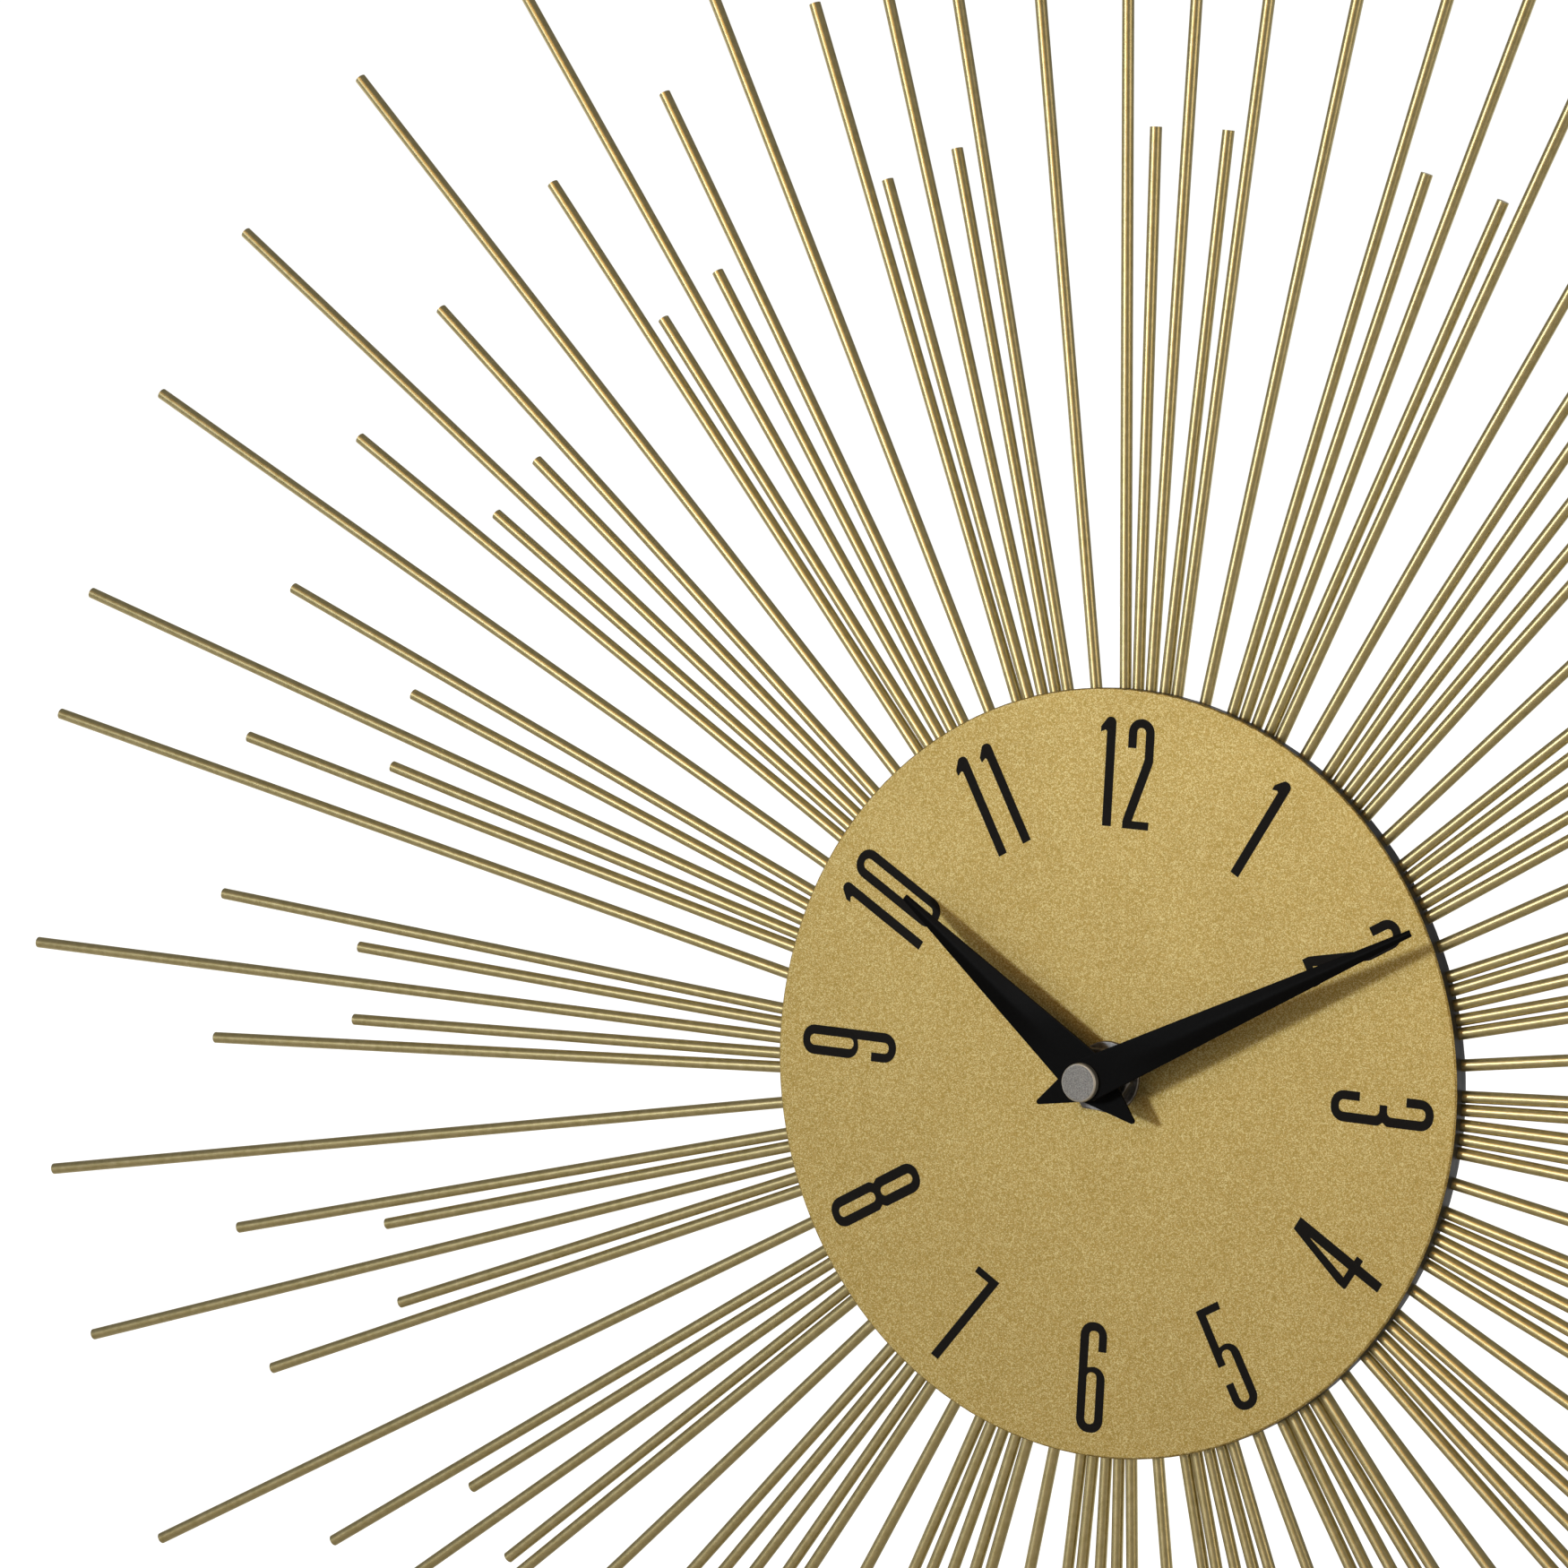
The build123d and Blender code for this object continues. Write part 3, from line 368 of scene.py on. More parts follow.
class Stuff(Enum):
    """The finishes on the clock, by what they are."""

    # gold lacquer with metal flakes, sprayed on the dial: a fine satin speckle
    # (the flakes are drawn coarser than real ones, so that they show)
    DIAL_GOLD = FlakePaint(
        "gold_flake_lacquer", "ac9150", "948042", 0.5, 0.9, grain_mm=0.3, relief_mm=0.003,
        roughness_swing=0.06, bright_colour="d2c590", flake_mm=0.15,
    )
    # antique gold lacquer over steel wire: soft long highlights, with the faint waves of a dip coat
    ROD_GOLD = Finish(
        "antique_gold_dipped_wire", "c6b88a", "b4a675", 0.36, 1.0, grain_mm=1.4, relief_mm=0.004,
        roughness_swing=0.06, mottle_mm=30.0,
    )
    # stoved black enamel, slightly orange-peeled
    BLACK_ENAMEL = Finish("black_stoved_enamel", "0d0c0c", "151414", 0.42, grain_mm=1.2, relief_mm=0.01)
    # thin black lacquer on pressed sheet: satin, nearly smooth
    HAND_LACQUER = Finish(
        "black_satin_lacquer", "040404", "080808", 0.42, grain_mm=0.5, relief_mm=0.0005, mottle_mm=9.0,
        roughness_swing=0.05, specular=0.04,
    )
    # screen-printed ink: matt, with a faintly uneven film
    INK = Finish("black_screen_ink", "0b0907", "120f0b", 0.55, grain_mm=0.35, relief_mm=0.004, specular=0.1)
    # tumbled and nickel-plated: a fine frosted grain, with a painted highlight on the rim
    SATIN_NICKEL = RimmedMetal(
        "tumbled_satin_nickel", "94928e", "5d5c59", 0.5, 1.0, grain_mm=0.22, relief_mm=0.03, mottle_mm=4.0,
        roughness_swing=0.06, rim_colour="c9c6bd", rim_mm=2.86,
    )
    # zinc plate with a clear passivate: cool, a little streaky
    ZINC = Finish(
        "zinc_plated_steel", "8b8986", "6a6866", 0.4, 1.0, grain_mm=0.8, relief_mm=0.006, mottle_mm=3.0,
    )
    # free-cutting brass, turned: warm with fine rings
    BRASS = TurnedMetal("turned_brass", "c9a560", "9d7c3c", 0.28, 1.0, grain_mm=0.3, relief_mm=0.006)
    # nitrile sheet, die-cut
    RUBBER = Finish("die_cut_nitrile_rubber", "161616", "202020", 0.78, grain_mm=0.5, relief_mm=0.02)
    # black ABS from a spark-eroded mould: an even matt pebble
    ABS = Finish(
        "spark_textured_black_abs", "17181a", "0f1011", 0.52, grain_mm=0.45, relief_mm=0.03,
        roughness_swing=0.08,
    )
    # the same plastic in grey, for the plates inside
    GREY_ABS = Finish("moulded_grey_abs", "b9b9b2", "a6a69f", 0.5, grain_mm=0.6, relief_mm=0.008)
    RED_KNOB = Finish("moulded_red_abs", "a8241a", "8c1b13", 0.38, grain_mm=0.6, relief_mm=0.008, coat=0.2)
    # acetal: waxy, slightly see-through at thin edges
    WHITE_ACETAL = Finish("white_acetal", "dedbd0", "cfcbbd", 0.36, grain_mm=0.8, relief_mm=0.004)
    BLACK_ACETAL = Finish("black_acetal", "17171a", "1f1f22", 0.34, grain_mm=0.8, relief_mm=0.004)
    RED_ACETAL = Finish("red_acetal", "8d2019", "781912", 0.36, grain_mm=0.8, relief_mm=0.004)
    FERRITE = Finish("sintered_ferrite", "2b2b2e", "1d1d20", 0.48, 0.6, grain_mm=0.3, relief_mm=0.01)
    SOFT_IRON = Finish("stamped_soft_iron", "8f9092", "747577", 0.38, 1.0, grain_mm=0.7, relief_mm=0.006)
    NICKEL_CAN = Finish("drawn_nickel_silver", "bfbdb6", "a3a19a", 0.24, 1.0, grain_mm=0.9, relief_mm=0.004)
    SPRING_NICKEL = Finish(
        "nickel_plated_spring_strip", "c2bfb6", "9f9c93", 0.26, 1.0, grain_mm=0.7, relief_mm=0.005,
    )
    COPPER = WoundWire("enamelled_copper_wire", "a4542a", "5b2712", 0.3, 0.9, relief_mm=0.08)
    BLUE_NYLON = Finish("blue_nylon", "27496f", "1f3c5c", 0.42, grain_mm=0.6, relief_mm=0.006)
    BOARD = Finish("green_solder_mask", "1d5a34", "174a2a", 0.3, grain_mm=1.6, relief_mm=0.01, coat=0.3)
    RESIN = Finish("black_potting_resin", "101010", "181818", 0.2, grain_mm=2.0, relief_mm=0.02)
    # shrunk plastic film on the cell, with a metallic ink and a clear varnish
    CELL = Finish(
        "printed_cell_film", "2f5a86", "294f77", 0.25, 0.35, grain_mm=0.5, relief_mm=0.003, coat=0.6,
    )


NODE_STUFF: dict[Stuff, tuple[str, ...]] = {
    Stuff.DIAL_GOLD: ("dial_plate",),
    Stuff.BLACK_ENAMEL: ("backing_plate",),
    Stuff.HAND_LACQUER: ("hour_hand", "minute_hand"),
    Stuff.SATIN_NICKEL: ("cap_nut",),
    Stuff.ZINC: ("dial_washer", "hex_nut", "spacer_ring", "core_screws"),
    Stuff.BRASS: ("threaded_bushing",),
    Stuff.RUBBER: ("gasket",),
    Stuff.ABS: ("movement_case", "rear_cover"),
    Stuff.GREY_ABS: ("middle_plate", "train_bridge"),
    Stuff.RED_KNOB: ("setting_knob",),
    Stuff.WHITE_ACETAL: (
        "minute_spindle", "hour_wheel", "motion_wheel", "third_wheel", "seconds_wheel", "rotor_pinion",
    ),
    Stuff.BLACK_ACETAL: ("centre_wheel",),
    Stuff.RED_ACETAL: ("intermediate_wheel",),
    Stuff.FERRITE: ("rotor_magnet",),
    Stuff.SOFT_IRON: ("stator", "coil_core"),
    Stuff.NICKEL_CAN: ("quartz_crystal",),
    Stuff.SPRING_NICKEL: ("battery_contact", "battery_spring"),
    Stuff.COPPER: ("coil_winding",),
    Stuff.BLUE_NYLON: ("coil_bobbin",),
    Stuff.BOARD: ("circuit_board",),
    Stuff.RESIN: ("driver_chip",),
    Stuff.CELL: ("battery_cell",),
}


# ------------------------------------------------------------------ numerals
Corner = tuple[float, float, float]  # across, up, and the corner's radius, in millimetres


def rounded_outline(corners: Sequence[Corner], arc_steps: int = 8) -> list[Point]:
    """Rounds the corners of a polygon with arcs.

    Args:
        corners: The polygon's corners in order, each with its radius.
        arc_steps: How many straight pieces make an arc.

    Returns:
        The outline's points.
    """
    points: list[Point] = []
    count = len(corners)
    for i, (x, y, radius) in enumerate(corners):
        here = Vector((x, y))
        before = (Vector(corners[i - 1][:2]) - here)
        after = (Vector(corners[(i + 1) % count][:2]) - here)
        half = before.angle(after) / 2
        reach = radius / tan(half)
        start = here + before.normalized() * reach
        end = here + after.normalized() * reach
        centre = here + (before.normalized() + after.normalized()).normalized() * (radius / sin(half))
        steps = 1 if radius < 0.1 else arc_steps
        for k in range(steps + 1):
            spoke = (start - centre).slerp(end - centre, k / steps)
            points.append(tuple(centre + spoke.normalized() * radius))
    return points


def grown(corners: Sequence[Corner], by_mm: float) -> list[Corner]:
    """Moves the sides of a polygon outwards and fits its radii to that.

    Args:
        corners: The polygon's corners in order, each with its radius.
        by_mm: How far the sides move; a negative amount moves them inwards.

    Returns:
        The moved corners.
    """
    pairs = zip(corners, [*corners[1:], corners[0]])
    area = sum(a[0] * b[1] - b[0] * a[1] for a, b in pairs)
    side = by_mm if area > 0 else -by_mm
    moved: list[Corner] = []
    for i, (x, y, radius) in enumerate(corners):
        here = Vector((x, y))
        into = (here - Vector(corners[i - 1][:2])).normalized()
        out = (Vector(corners[(i + 1) % len(corners)][:2]) - here).normalized()
        mitre = Vector((into.y + out.y, -into.x - out.x))
        place = here + mitre * (2 * side / mitre.length_squared)
        bulges = (into.x * out.y - into.y * out.x) * area > 0
        if radius > 2 * SHARP:
            radius = max(radius + (by_mm if bulges else -by_mm), SHARP)
        moved.append((place.x, place.y, radius))
    return moved


def loop(half_width: float, low: float, high: float, radius: float, middle: float = 0.0) -> list[Corner]:
    """Returns the corners of an upright rounded slot."""
    left, right = middle - half_width, middle + half_width
    return [(left, low, radius), (left, high, radius), (right, high, radius), (right, low, radius)]


@dataclass(frozen=True)
class Glyph:
    """One condensed figure, 18 mm tall, as an outline and its counters."""

    outline: Sequence[Corner]
    counters: Sequence[Sequence[Corner]] = ()

    def turned(self) -> Glyph:
        """Returns the same figure upside down."""
        return Glyph(
            [(-x, -y, r) for x, y, r in self.outline], [[(-x, -y, r) for x, y, r in c] for c in self.counters]
        )


SHARP = 0.04
SIX = Glyph(
    [(-2.45, -9.2, 2.2), (-2.45, 9.1, 2.3), (2.45, 9.1, 2.3), (2.45, 4.4, SHARP), (1.05, 4.4, SHARP),
     (1.05, 7.75, 0.85), (-0.9, 7.75, 0.85), (-0.95, 1.45, SHARP), (2.45, 2.2, 2.1), (2.45, -9.2, 2.2)],
    [loop(0.98, -7.9, 0.85, 0.93)],
)
GLYPHS: dict[str, Glyph] = {
    "0": Glyph(loop(2.5, -9.2, 9.2, 2.3), [loop(1.02, -7.9, 7.9, 0.98)]),
    "1": Glyph(
        [(-1.35, 6.5, SHARP), (-1.35, 7.3, 0.12), (-0.1, 8.95, 0.8), (1.35, 8.95, 0.9), (1.35, -8.9, SHARP),
         (-0.2, -8.9, SHARP), (-0.2, 6.65, 0.25), (-0.55, 6.9, 0.15)]
    ),
    "2": Glyph(
        [(-2.2, 4.25, SHARP), (-2.2, 9.0, 2.3), (2.5, 9.0, 2.3), (2.5, 2.0, 2.5), (-0.9, -7.8, SHARP),
         (2.25, -7.8, SHARP), (2.25, -9.0, SHARP), (-2.5, -9.0, SHARP), (-2.5, -7.8, 1.0), (1.0, 2.4, 2.6),
         (1.0, 7.65, 0.85), (-0.75, 7.65, 0.8), (-0.75, 4.25, SHARP)]
    ),
    "3": Glyph(
        [(-2.45, 4.3, SHARP), (-2.45, 9.1, 2.3), (2.45, 9.1, 2.3), (2.45, 0.95, 0.7), (1.85, 0.2, 0.12),
         (2.45, -0.6, 0.7), (2.45, -9.1, 2.3), (-2.5, -9.1, 2.3), (-2.5, -4.1, SHARP),
         (-1.15, -4.1, SHARP), (-1.15, -7.75, 0.9), (0.98, -7.75, 0.9), (0.98, -0.4, 0.9),
         (-0.85, -0.4, SHARP), (-0.85, 0.85, SHARP), (0.98, 0.85, 0.9), (0.98, 7.75, 0.9),
         (-1.05, 7.75, 0.9), (-1.05, 4.3, SHARP)]
    ),
    "4": Glyph(
        [(-0.2, 8.8, SHARP), (2.0, 8.8, SHARP), (1.92, -2.8, SHARP), (2.86, -2.8, SHARP),
         (2.86, -4.0, SHARP), (1.9, -4.0, SHARP), (1.85, -8.8, SHARP), (0.28, -8.8, SHARP),
         (0.28, -4.0, SHARP), (-2.9, -3.95, 0.3), (-2.75, -2.2, 1.0)],
        [[(0.4, 6.6, SHARP), (0.28, -2.75, SHARP), (-1.45, -2.75, SHARP)]],
    ),
    "5": Glyph(
        [(-2.15, 8.9, SHARP), (2.2, 8.9, SHARP), (2.15, 7.72, SHARP), (-0.8, 7.72, SHARP),
         (-0.85, 1.95, SHARP), (2.35, 2.75, 2.1), (2.35, -8.95, 2.2), (-2.35, -8.95, 2.2),
         (-2.35, -4.05, SHARP), (-1.0, -4.05, SHARP), (-1.0, -7.7, 0.9), (0.95, -7.7, 0.9),
         (0.95, 1.35, 0.9), (-0.95, 1.35, 0.9), (-0.95, -0.87, SHARP), (-2.3, -0.87, SHARP)]
    ),
    "6": SIX,
    "7": Glyph(
        [(-2.3, 8.9, 0.15), (2.38, 8.9, SHARP), (-0.05, -8.9, SHARP), (-1.55, -8.9, SHARP),
         (0.75, 7.75, SHARP), (-2.35, 7.75, SHARP)]
    ),
    "8": Glyph(
        [(-2.5, 9.3, 2.2), (2.5, 9.3, 2.2), (2.5, 1.3, 0.6), (1.9, 0.5, 0.12), (2.5, -0.3, 0.6),
         (2.5, -9.3, 2.2), (-2.5, -9.3, 2.2), (-2.5, -0.3, 0.6), (-1.9, 0.5, 0.12), (-2.5, 1.3, 0.6)],
        [loop(0.9, 1.15, 8.0, 0.86), loop(0.95, -8.0, -0.1, 0.9)],
    ),
    "9": SIX.turned(),
}


@dataclass(frozen=True)
class Dial:
    """The figures printed on the dial."""

    centre_mm: Point = (0.5, 0.4)  # the print sits a little off the hands' axis
    turn_deg: float = 0.3
    figure_radius_mm: float = 50.0
    ink_mm: float = 0.03
    spread_mm: float = 0.06  # how far the ink runs past the figures' drawn outline
    pair_offset_mm: float = 2.55  # how far each of two figures stands from their middle

    def figure_pair(self, hour: int) -> list[tuple[str, float]]:
        """Returns the figures of an hour, each with its place across the numeral."""
        text = str(hour)
        if len(text) == 1:
            return [(text, 0.0)]
        if text == "11":
            return [("1", -self.pair_offset_mm), ("1", self.pair_offset_mm)]
        return [("1", -1.42 * self.pair_offset_mm), (text[1], 0.96 * self.pair_offset_mm)]

    def numeral(self, hour: int) -> bpy.types.Object:
        """Builds one hour's numeral as a thin film on the dial.

        Args:
            hour: From 1 to 12.

        Returns:
            The numeral as a mesh in its place.
        """
        curve = bpy.data.curves.new(f"numeral_{hour:02d}", "CURVE")
        curve.dimensions = "2D"
        curve.fill_mode = "BOTH"
        curve.extrude = self.ink_mm * MM / 2
        for figure, across in self.figure_pair(hour):
            glyph = GLYPHS[figure]
            holes = [grown(counter, -self.spread_mm) for counter in glyph.counters]
            for corners in (grown(glyph.outline, self.spread_mm), *holes):
                points = rounded_outline(corners)
                spline = curve.splines.new("POLY")
                spline.points.add(len(points) - 1)
                for point, (x, y) in zip(spline.points, points):
                    point.co = ((x + across) * MM, y * MM, 0.0, 1.0)
                spline.use_cyclic_u = True
        piece = bpy.data.objects.new(curve.name, curve)
        bpy.context.scene.collection.objects.link(piece)
        activate(piece)
        bpy.ops.object.convert(target="MESH")
        piece = bpy.context.object
        face_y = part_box("dial_plate")[0].y
        clock = radians(30 * hour + self.turn_deg)
        upside_down = pi if 4 <= hour <= 8 else 0.0
        where = Vector((self.centre_mm[0], 0.0, self.centre_mm[1])) * MM
        where += Vector((sin(clock), 0.0, cos(clock))) * self.figure_radius_mm * MM
        where.y = face_y
        facing = Matrix.Rotation(clock + upside_down, 4, "Y") @ Matrix.Rotation(pi / 2, 4, "X")
        piece.matrix_world = Matrix.Translation(where) @ facing
        settle(piece)
        bpy.ops.object.mode_set(mode="EDIT")
        bpy.ops.mesh.select_all(action="SELECT")
        bpy.ops.mesh.remove_doubles(threshold=0.001 * MM)
        bpy.ops.mesh.normals_make_consistent(inside=False)
        bpy.ops.object.mode_set(mode="OBJECT")
        return piece

    def build(self) -> None:
        """Prints the twelve numerals."""
        ink = Stuff.INK.value.material()
        for hour in range(1, 13):
            finish_piece(self.numeral(hour), f"numeral_{hour:02d}", "frame", ink)


# ------------------------------------------------------------------ shaping tools
SAME_PLANE_DEG = 0.5  # faces that turn less than this are one face
SHARP_EDGE_DEG = 35.0  # a CAD node's edges that turn more than this are rounded
CUT_EDGE_DEG = 40.0  # the same for pieces made here


def pick(piece: bpy.types.Object, wanted: Callable[[Vector], bool]) -> None:
    """Selects the vertices of a piece in edit mode whose place is wanted.

    Args:
        piece: The object, which is in edit mode.
        wanted: Says whether a place is wanted.
    """
    bpy.ops.mesh.select_mode(type="VERT")
    bpy.ops.mesh.select_all(action="DESELECT")
    bpy.ops.object.mode_set(mode="OBJECT")
    for vertex in piece.data.vertices:
        vertex.select = bool(wanted(vertex.co))
    bpy.ops.object.mode_set(mode="EDIT")


def cylinder(radius_mm: float, low_mm: float, high_mm: float, sides: int = 48) -> bpy.types.Object:
    """Adds a cylinder round the hands' axis, between two heights in front of the wall.

    Args:
        radius_mm: Its radius.
        low_mm: The height of its rear face.
        high_mm: The height of its front face.
        sides: How many sides its outline has.

    Returns:
        The cylinder, its place in its mesh.
    """
    deselect()
    bpy.ops.mesh.primitive_cylinder_add(
        vertices=sides, radius=radius_mm * MM, depth=(high_mm - low_mm) * MM,
        location=(0.0, -(low_mm + high_mm) / 2 * MM, 0.0), rotation=(pi / 2, 0.0, 0.0),
    )
    return settle(bpy.context.object)


def drill(piece: bpy.types.Object, cutter: bpy.types.Object) -> None:
    """Cuts one shape out of another and removes the cutter."""
    apply_modifier(piece, "BOOLEAN", operation="DIFFERENCE", object=cutter, solver="EXACT")
    bpy.data.objects.remove(cutter, do_unlink=True)


def join(pieces: Sequence[bpy.types.Object]) -> bpy.types.Object:
    """Makes several objects one and returns it."""
    activate(pieces[0])
    for piece in pieces[1:]:
        piece.select_set(True)
    bpy.ops.object.join()
    return bpy.context.object


def smooth(piece: bpy.types.Object, angle_deg: float = 32.0) -> None:
    """Shades a piece smooth, apart from its sharp edges."""
    activate(piece)
    bpy.ops.object.shade_smooth_by_angle(angle=radians(angle_deg))


def round_edges(piece: bpy.types.Object, width_mm: float, angle_deg: float) -> None:
    """Rounds the edges that turn more than an angle."""
    apply_modifier(
        piece, "BEVEL", width=width_mm * MM, segments=2, limit_method="ANGLE", angle_limit=radians(angle_deg)
    )


def softened_copy(node: str, edge_mm: float) -> bpy.types.Object:
    """Copies a CAD node, cleans its mesh and rounds its edges.

    Args:
        node: The node's name.
        edge_mm: How wide the rounding is.

    Returns:
        The rounded copy.
    """
    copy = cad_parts[node].copy()
    copy.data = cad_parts[node].data.copy()
    bpy.context.scene.collection.objects.link(copy)
    copy.parent = None
    activate(copy)
    bpy.ops.object.mode_set(mode="EDIT")
    bpy.ops.mesh.select_all(action="SELECT")
    bpy.ops.mesh.remove_doubles(threshold=0.002 * MM)
    bpy.ops.mesh.dissolve_limited(angle_limit=radians(SAME_PLANE_DEG))
    bpy.ops.object.mode_set(mode="OBJECT")
    round_edges(copy, edge_mm, SHARP_EDGE_DEG)
    smooth(copy)
    apply_modifier(copy, "WEIGHTED_NORMAL", keep_sharp=True)
    return copy


# ------------------------------------------------------------------ hands
@dataclass(frozen=True)
class PressedHand:
    """A hand pressed from sheet: flat at its hub, with a soft ridge that runs out to its tip."""

    name: str
    body: str
    back_mm: float  # height of its rear face in front of the wall
    length_mm: float
    width_mm: float
    tail_mm: float
    clock_deg: float
    bore_mm: float
    collar_mm: tuple[float, float]  # diameter and length
    ridge_mm: float  # how far the ridge stands up
    ridge_start_mm: float
    sheet_mm: float = 0.4
    tip_mm: float = 0.9
    shoulder_mm: float = 0.6
    run_in_mm: float = 16.0  # over which the ridge rises
    lowest_ridge: float = 0.25  # share of its height that the ridge would keep at no width
    ridge_gain: float = 2.4  # how fast that share grows with the hand's own
    crest_share: float = 0.94  # the crest is rounded down by this much
    edge_mm: float = 0.07  # how wide the sheet's edges are broken
    collar_edge_mm: float = 0.12
    tail_steps_mm: tuple[float, ...] = (1.5, 1.7, 2.2, 3.2)  # cross-sections from the tail's end
    hub_steps_mm: tuple[float, ...] = (-0.7, 0.1, 0.6, 1.1, 1.9, 3.5)
    run_in_shares: tuple[float, ...] = (0.0, 0.2, 0.4, 0.6, 0.8, 1.0)
    blade_steps: int = 6  # cross-sections from the run-in's end to the tip
    tip_steps_mm: Point = (0.8, 0.25)  # cross-sections before the tip
    columns: int = 8
    aside_m: float = 10.0  # finished rows stand this far off, clear of those still to be placed
    slack_m: float = 1e-5  # how far off a row's vertices may be found

    def half_width(self, along: float) -> float:
        """Returns half the hand's width at a distance from the hub, in millimetres."""
        if along < self.shoulder_mm:
            share = (along + self.tail_mm) / (self.shoulder_mm + self.tail_mm)
            return share * self.width_mm / 2
        share = (along - self.shoulder_mm) / (self.length_mm - self.shoulder_mm)
        return (1 - share) * self.width_mm / 2 + share * self.tip_mm / 2

    def ridge(self, along: float) -> float:
        """Returns the ridge's height at a distance from the hub, in millimetres."""
        rise = min(max((along - self.ridge_start_mm) / self.run_in_mm, 0.0), 1.0)
        rise = rise * rise * (3 - 2 * rise)
        thin = min(1.0, self.ridge_gain * self.half_width(along) / self.width_mm + self.lowest_ridge)
        return self.ridge_mm * rise * thin

    def stations(self) -> list[float]:
        """Returns where the sheet's cross-sections lie, from tail to tip."""
        end = -self.tail_mm
        tail = [*(end + step for step in self.tail_steps_mm), end / 2]
        run_in = [self.ridge_start_mm + self.run_in_mm * share for share in self.run_in_shares]
        before_tip, last = self.tip_steps_mm
        left = self.length_mm - before_tip - run_in[-1]
        blade = [run_in[-1] + left * k / self.blade_steps for k in range(1, self.blade_steps + 1)]
        return [*tail, *self.hub_steps_mm, *run_in, *blade, self.length_mm - last, self.length_mm]

    def pick_in_row(self, piece: bpy.types.Object, along: float, across: float, both: bool) -> None:
        """Selects one place of a finished row, in edit mode.

        Args:
            piece: The sheet.
            along: Where the row lies, in millimetres from the hub.
            across: The place, as a share of half the hand's width.
            both: Whether the same place on the other side is wanted too.
        """
        half = self.half_width(along) * MM
        near = 0.02 * half

        def wanted(place: Vector) -> bool:
            """Returns whether a vertex stands at the place."""
            x = abs(place.x) if both else place.x
            return abs(place.z - along * MM - self.aside_m) < self.slack_m and abs(x - across * half) < near

        pick(piece, wanted)

    def sheet(self) -> bpy.types.Object:
        """Presses the sheet and returns it, pointing up, its rear face on the plane Y = 0."""
        stations = self.stations()
        rows = len(stations)
        deselect()
        bpy.ops.mesh.primitive_grid_add(
            x_subdivisions=self.columns, y_subdivisions=rows - 1, size=2.0, rotation=(pi / 2, 0.0, 0.0)
        )
        piece = settle(bpy.context.object)
        bpy.ops.object.mode_set(mode="EDIT")
        for row, along in enumerate(stations):
            level = -1 + 2 * row / (rows - 1)
            pick(piece, lambda place, level=level: abs(place.z - level) < 0.2 / rows)
            half = self.half_width(along) * MM
            bpy.ops.transform.resize(value=(half, 1.0, 1.0), center_override=(0.0, 0.0, level))
            bpy.ops.transform.translate(value=(0.0, 0.0, along * MM + self.aside_m - level))
            if row == 0:
                self.round_tail(piece, along)
            self.raise_ridge(piece, along)
        bpy.ops.mesh.select_all(action="SELECT")
        bpy.ops.transform.translate(value=(0.0, 0.0, -self.aside_m))
        bpy.ops.object.mode_set(mode="OBJECT")
        apply_modifier(piece, "SUBSURF", levels=2, render_levels=2, boundary_smooth="PRESERVE_CORNERS")
        return piece

    def round_tail(self, piece: bpy.types.Object, along: float) -> None:
        """Draws the tail's row out to a round end, in edit mode.

        Args:
            piece: The sheet.
            along: Where the row lies.
        """
        longest = 1.15 * self.half_width(along)
        for column in range(self.columns + 1):
            across = -1 + 2 * column / self.columns
            bulge = longest * (1 - across * across) ** 0.5
            self.pick_in_row(piece, along, across, both=False)
            bpy.ops.transform.translate(value=(0.0, 0.0, -bulge * MM))

    def raise_ridge(self, piece: bpy.types.Object, along: float) -> None:
        """Lifts a row's middle to the ridge's height, in edit mode.

        Args:
            piece: The sheet.
            along: Where the row lies.
        """
        height = self.ridge(along)
        if height <= 0.0:
            return
        for column in range(1, self.columns // 2 + 1):
            share = column / (self.columns / 2)
            self.pick_in_row(piece, along, 1 - share, both=True)
            lift = height * (share if share < 1 else self.crest_share)
            bpy.ops.transform.translate(value=(0.0, -lift * MM, 0.0))

    def build(self) -> bpy.types.Object:
        """Presses, thickens, drills and turns the hand, and returns it."""
        piece = self.sheet()
        activate(piece)
        bpy.ops.object.mode_set(mode="EDIT")
        bpy.ops.mesh.select_all(action="SELECT")
        bpy.ops.mesh.normals_make_consistent(inside=False)
        bpy.ops.object.mode_set(mode="OBJECT")
        if piece.data.polygons[0].normal.y > 0:
            piece.data.flip_normals()
        apply_modifier(piece, "SOLIDIFY", thickness=self.sheet_mm * MM, offset=1.0)
        round_edges(piece, self.edge_mm, CUT_EDGE_DEG)
        drill(piece, cylinder(self.bore_mm / 2, -1.0, self.sheet_mm + 1.0))
        collar = cylinder(self.collar_mm[0] / 2, -self.collar_mm[1], 0.0)
        round_edges(collar, self.collar_edge_mm, CUT_EDGE_DEG)
        drill(collar, cylinder(self.bore_mm / 2, -self.collar_mm[1] - 1.0, 1.0))
        piece = join([piece, collar])
        turn = Matrix.Rotation(radians(self.clock_deg), 4, "Y")
        piece.matrix_world = Matrix.Translation((0.0, -self.back_mm * MM, 0.0)) @ turn
        settle(piece)
        smooth(piece, 28.0)
        lacquer = Stuff.HAND_LACQUER.value.material()
        finish_piece(piece, f"pressed_{self.name}", self.body, lacquer)
        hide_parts(self.name)
        return piece


HANDS = (
    PressedHand("hour_hand", "hour", 28.0, 45.8, 8.5, 11.2, 306.0, 5.0, (7.0, 0.9), 0.42, 6.5),
    PressedHand("minute_hand", "minute", 31.1, 64.9, 7.2, 10.1, 62.7, 3.2, (5.4, 0.6), 0.35, 5.0),
)


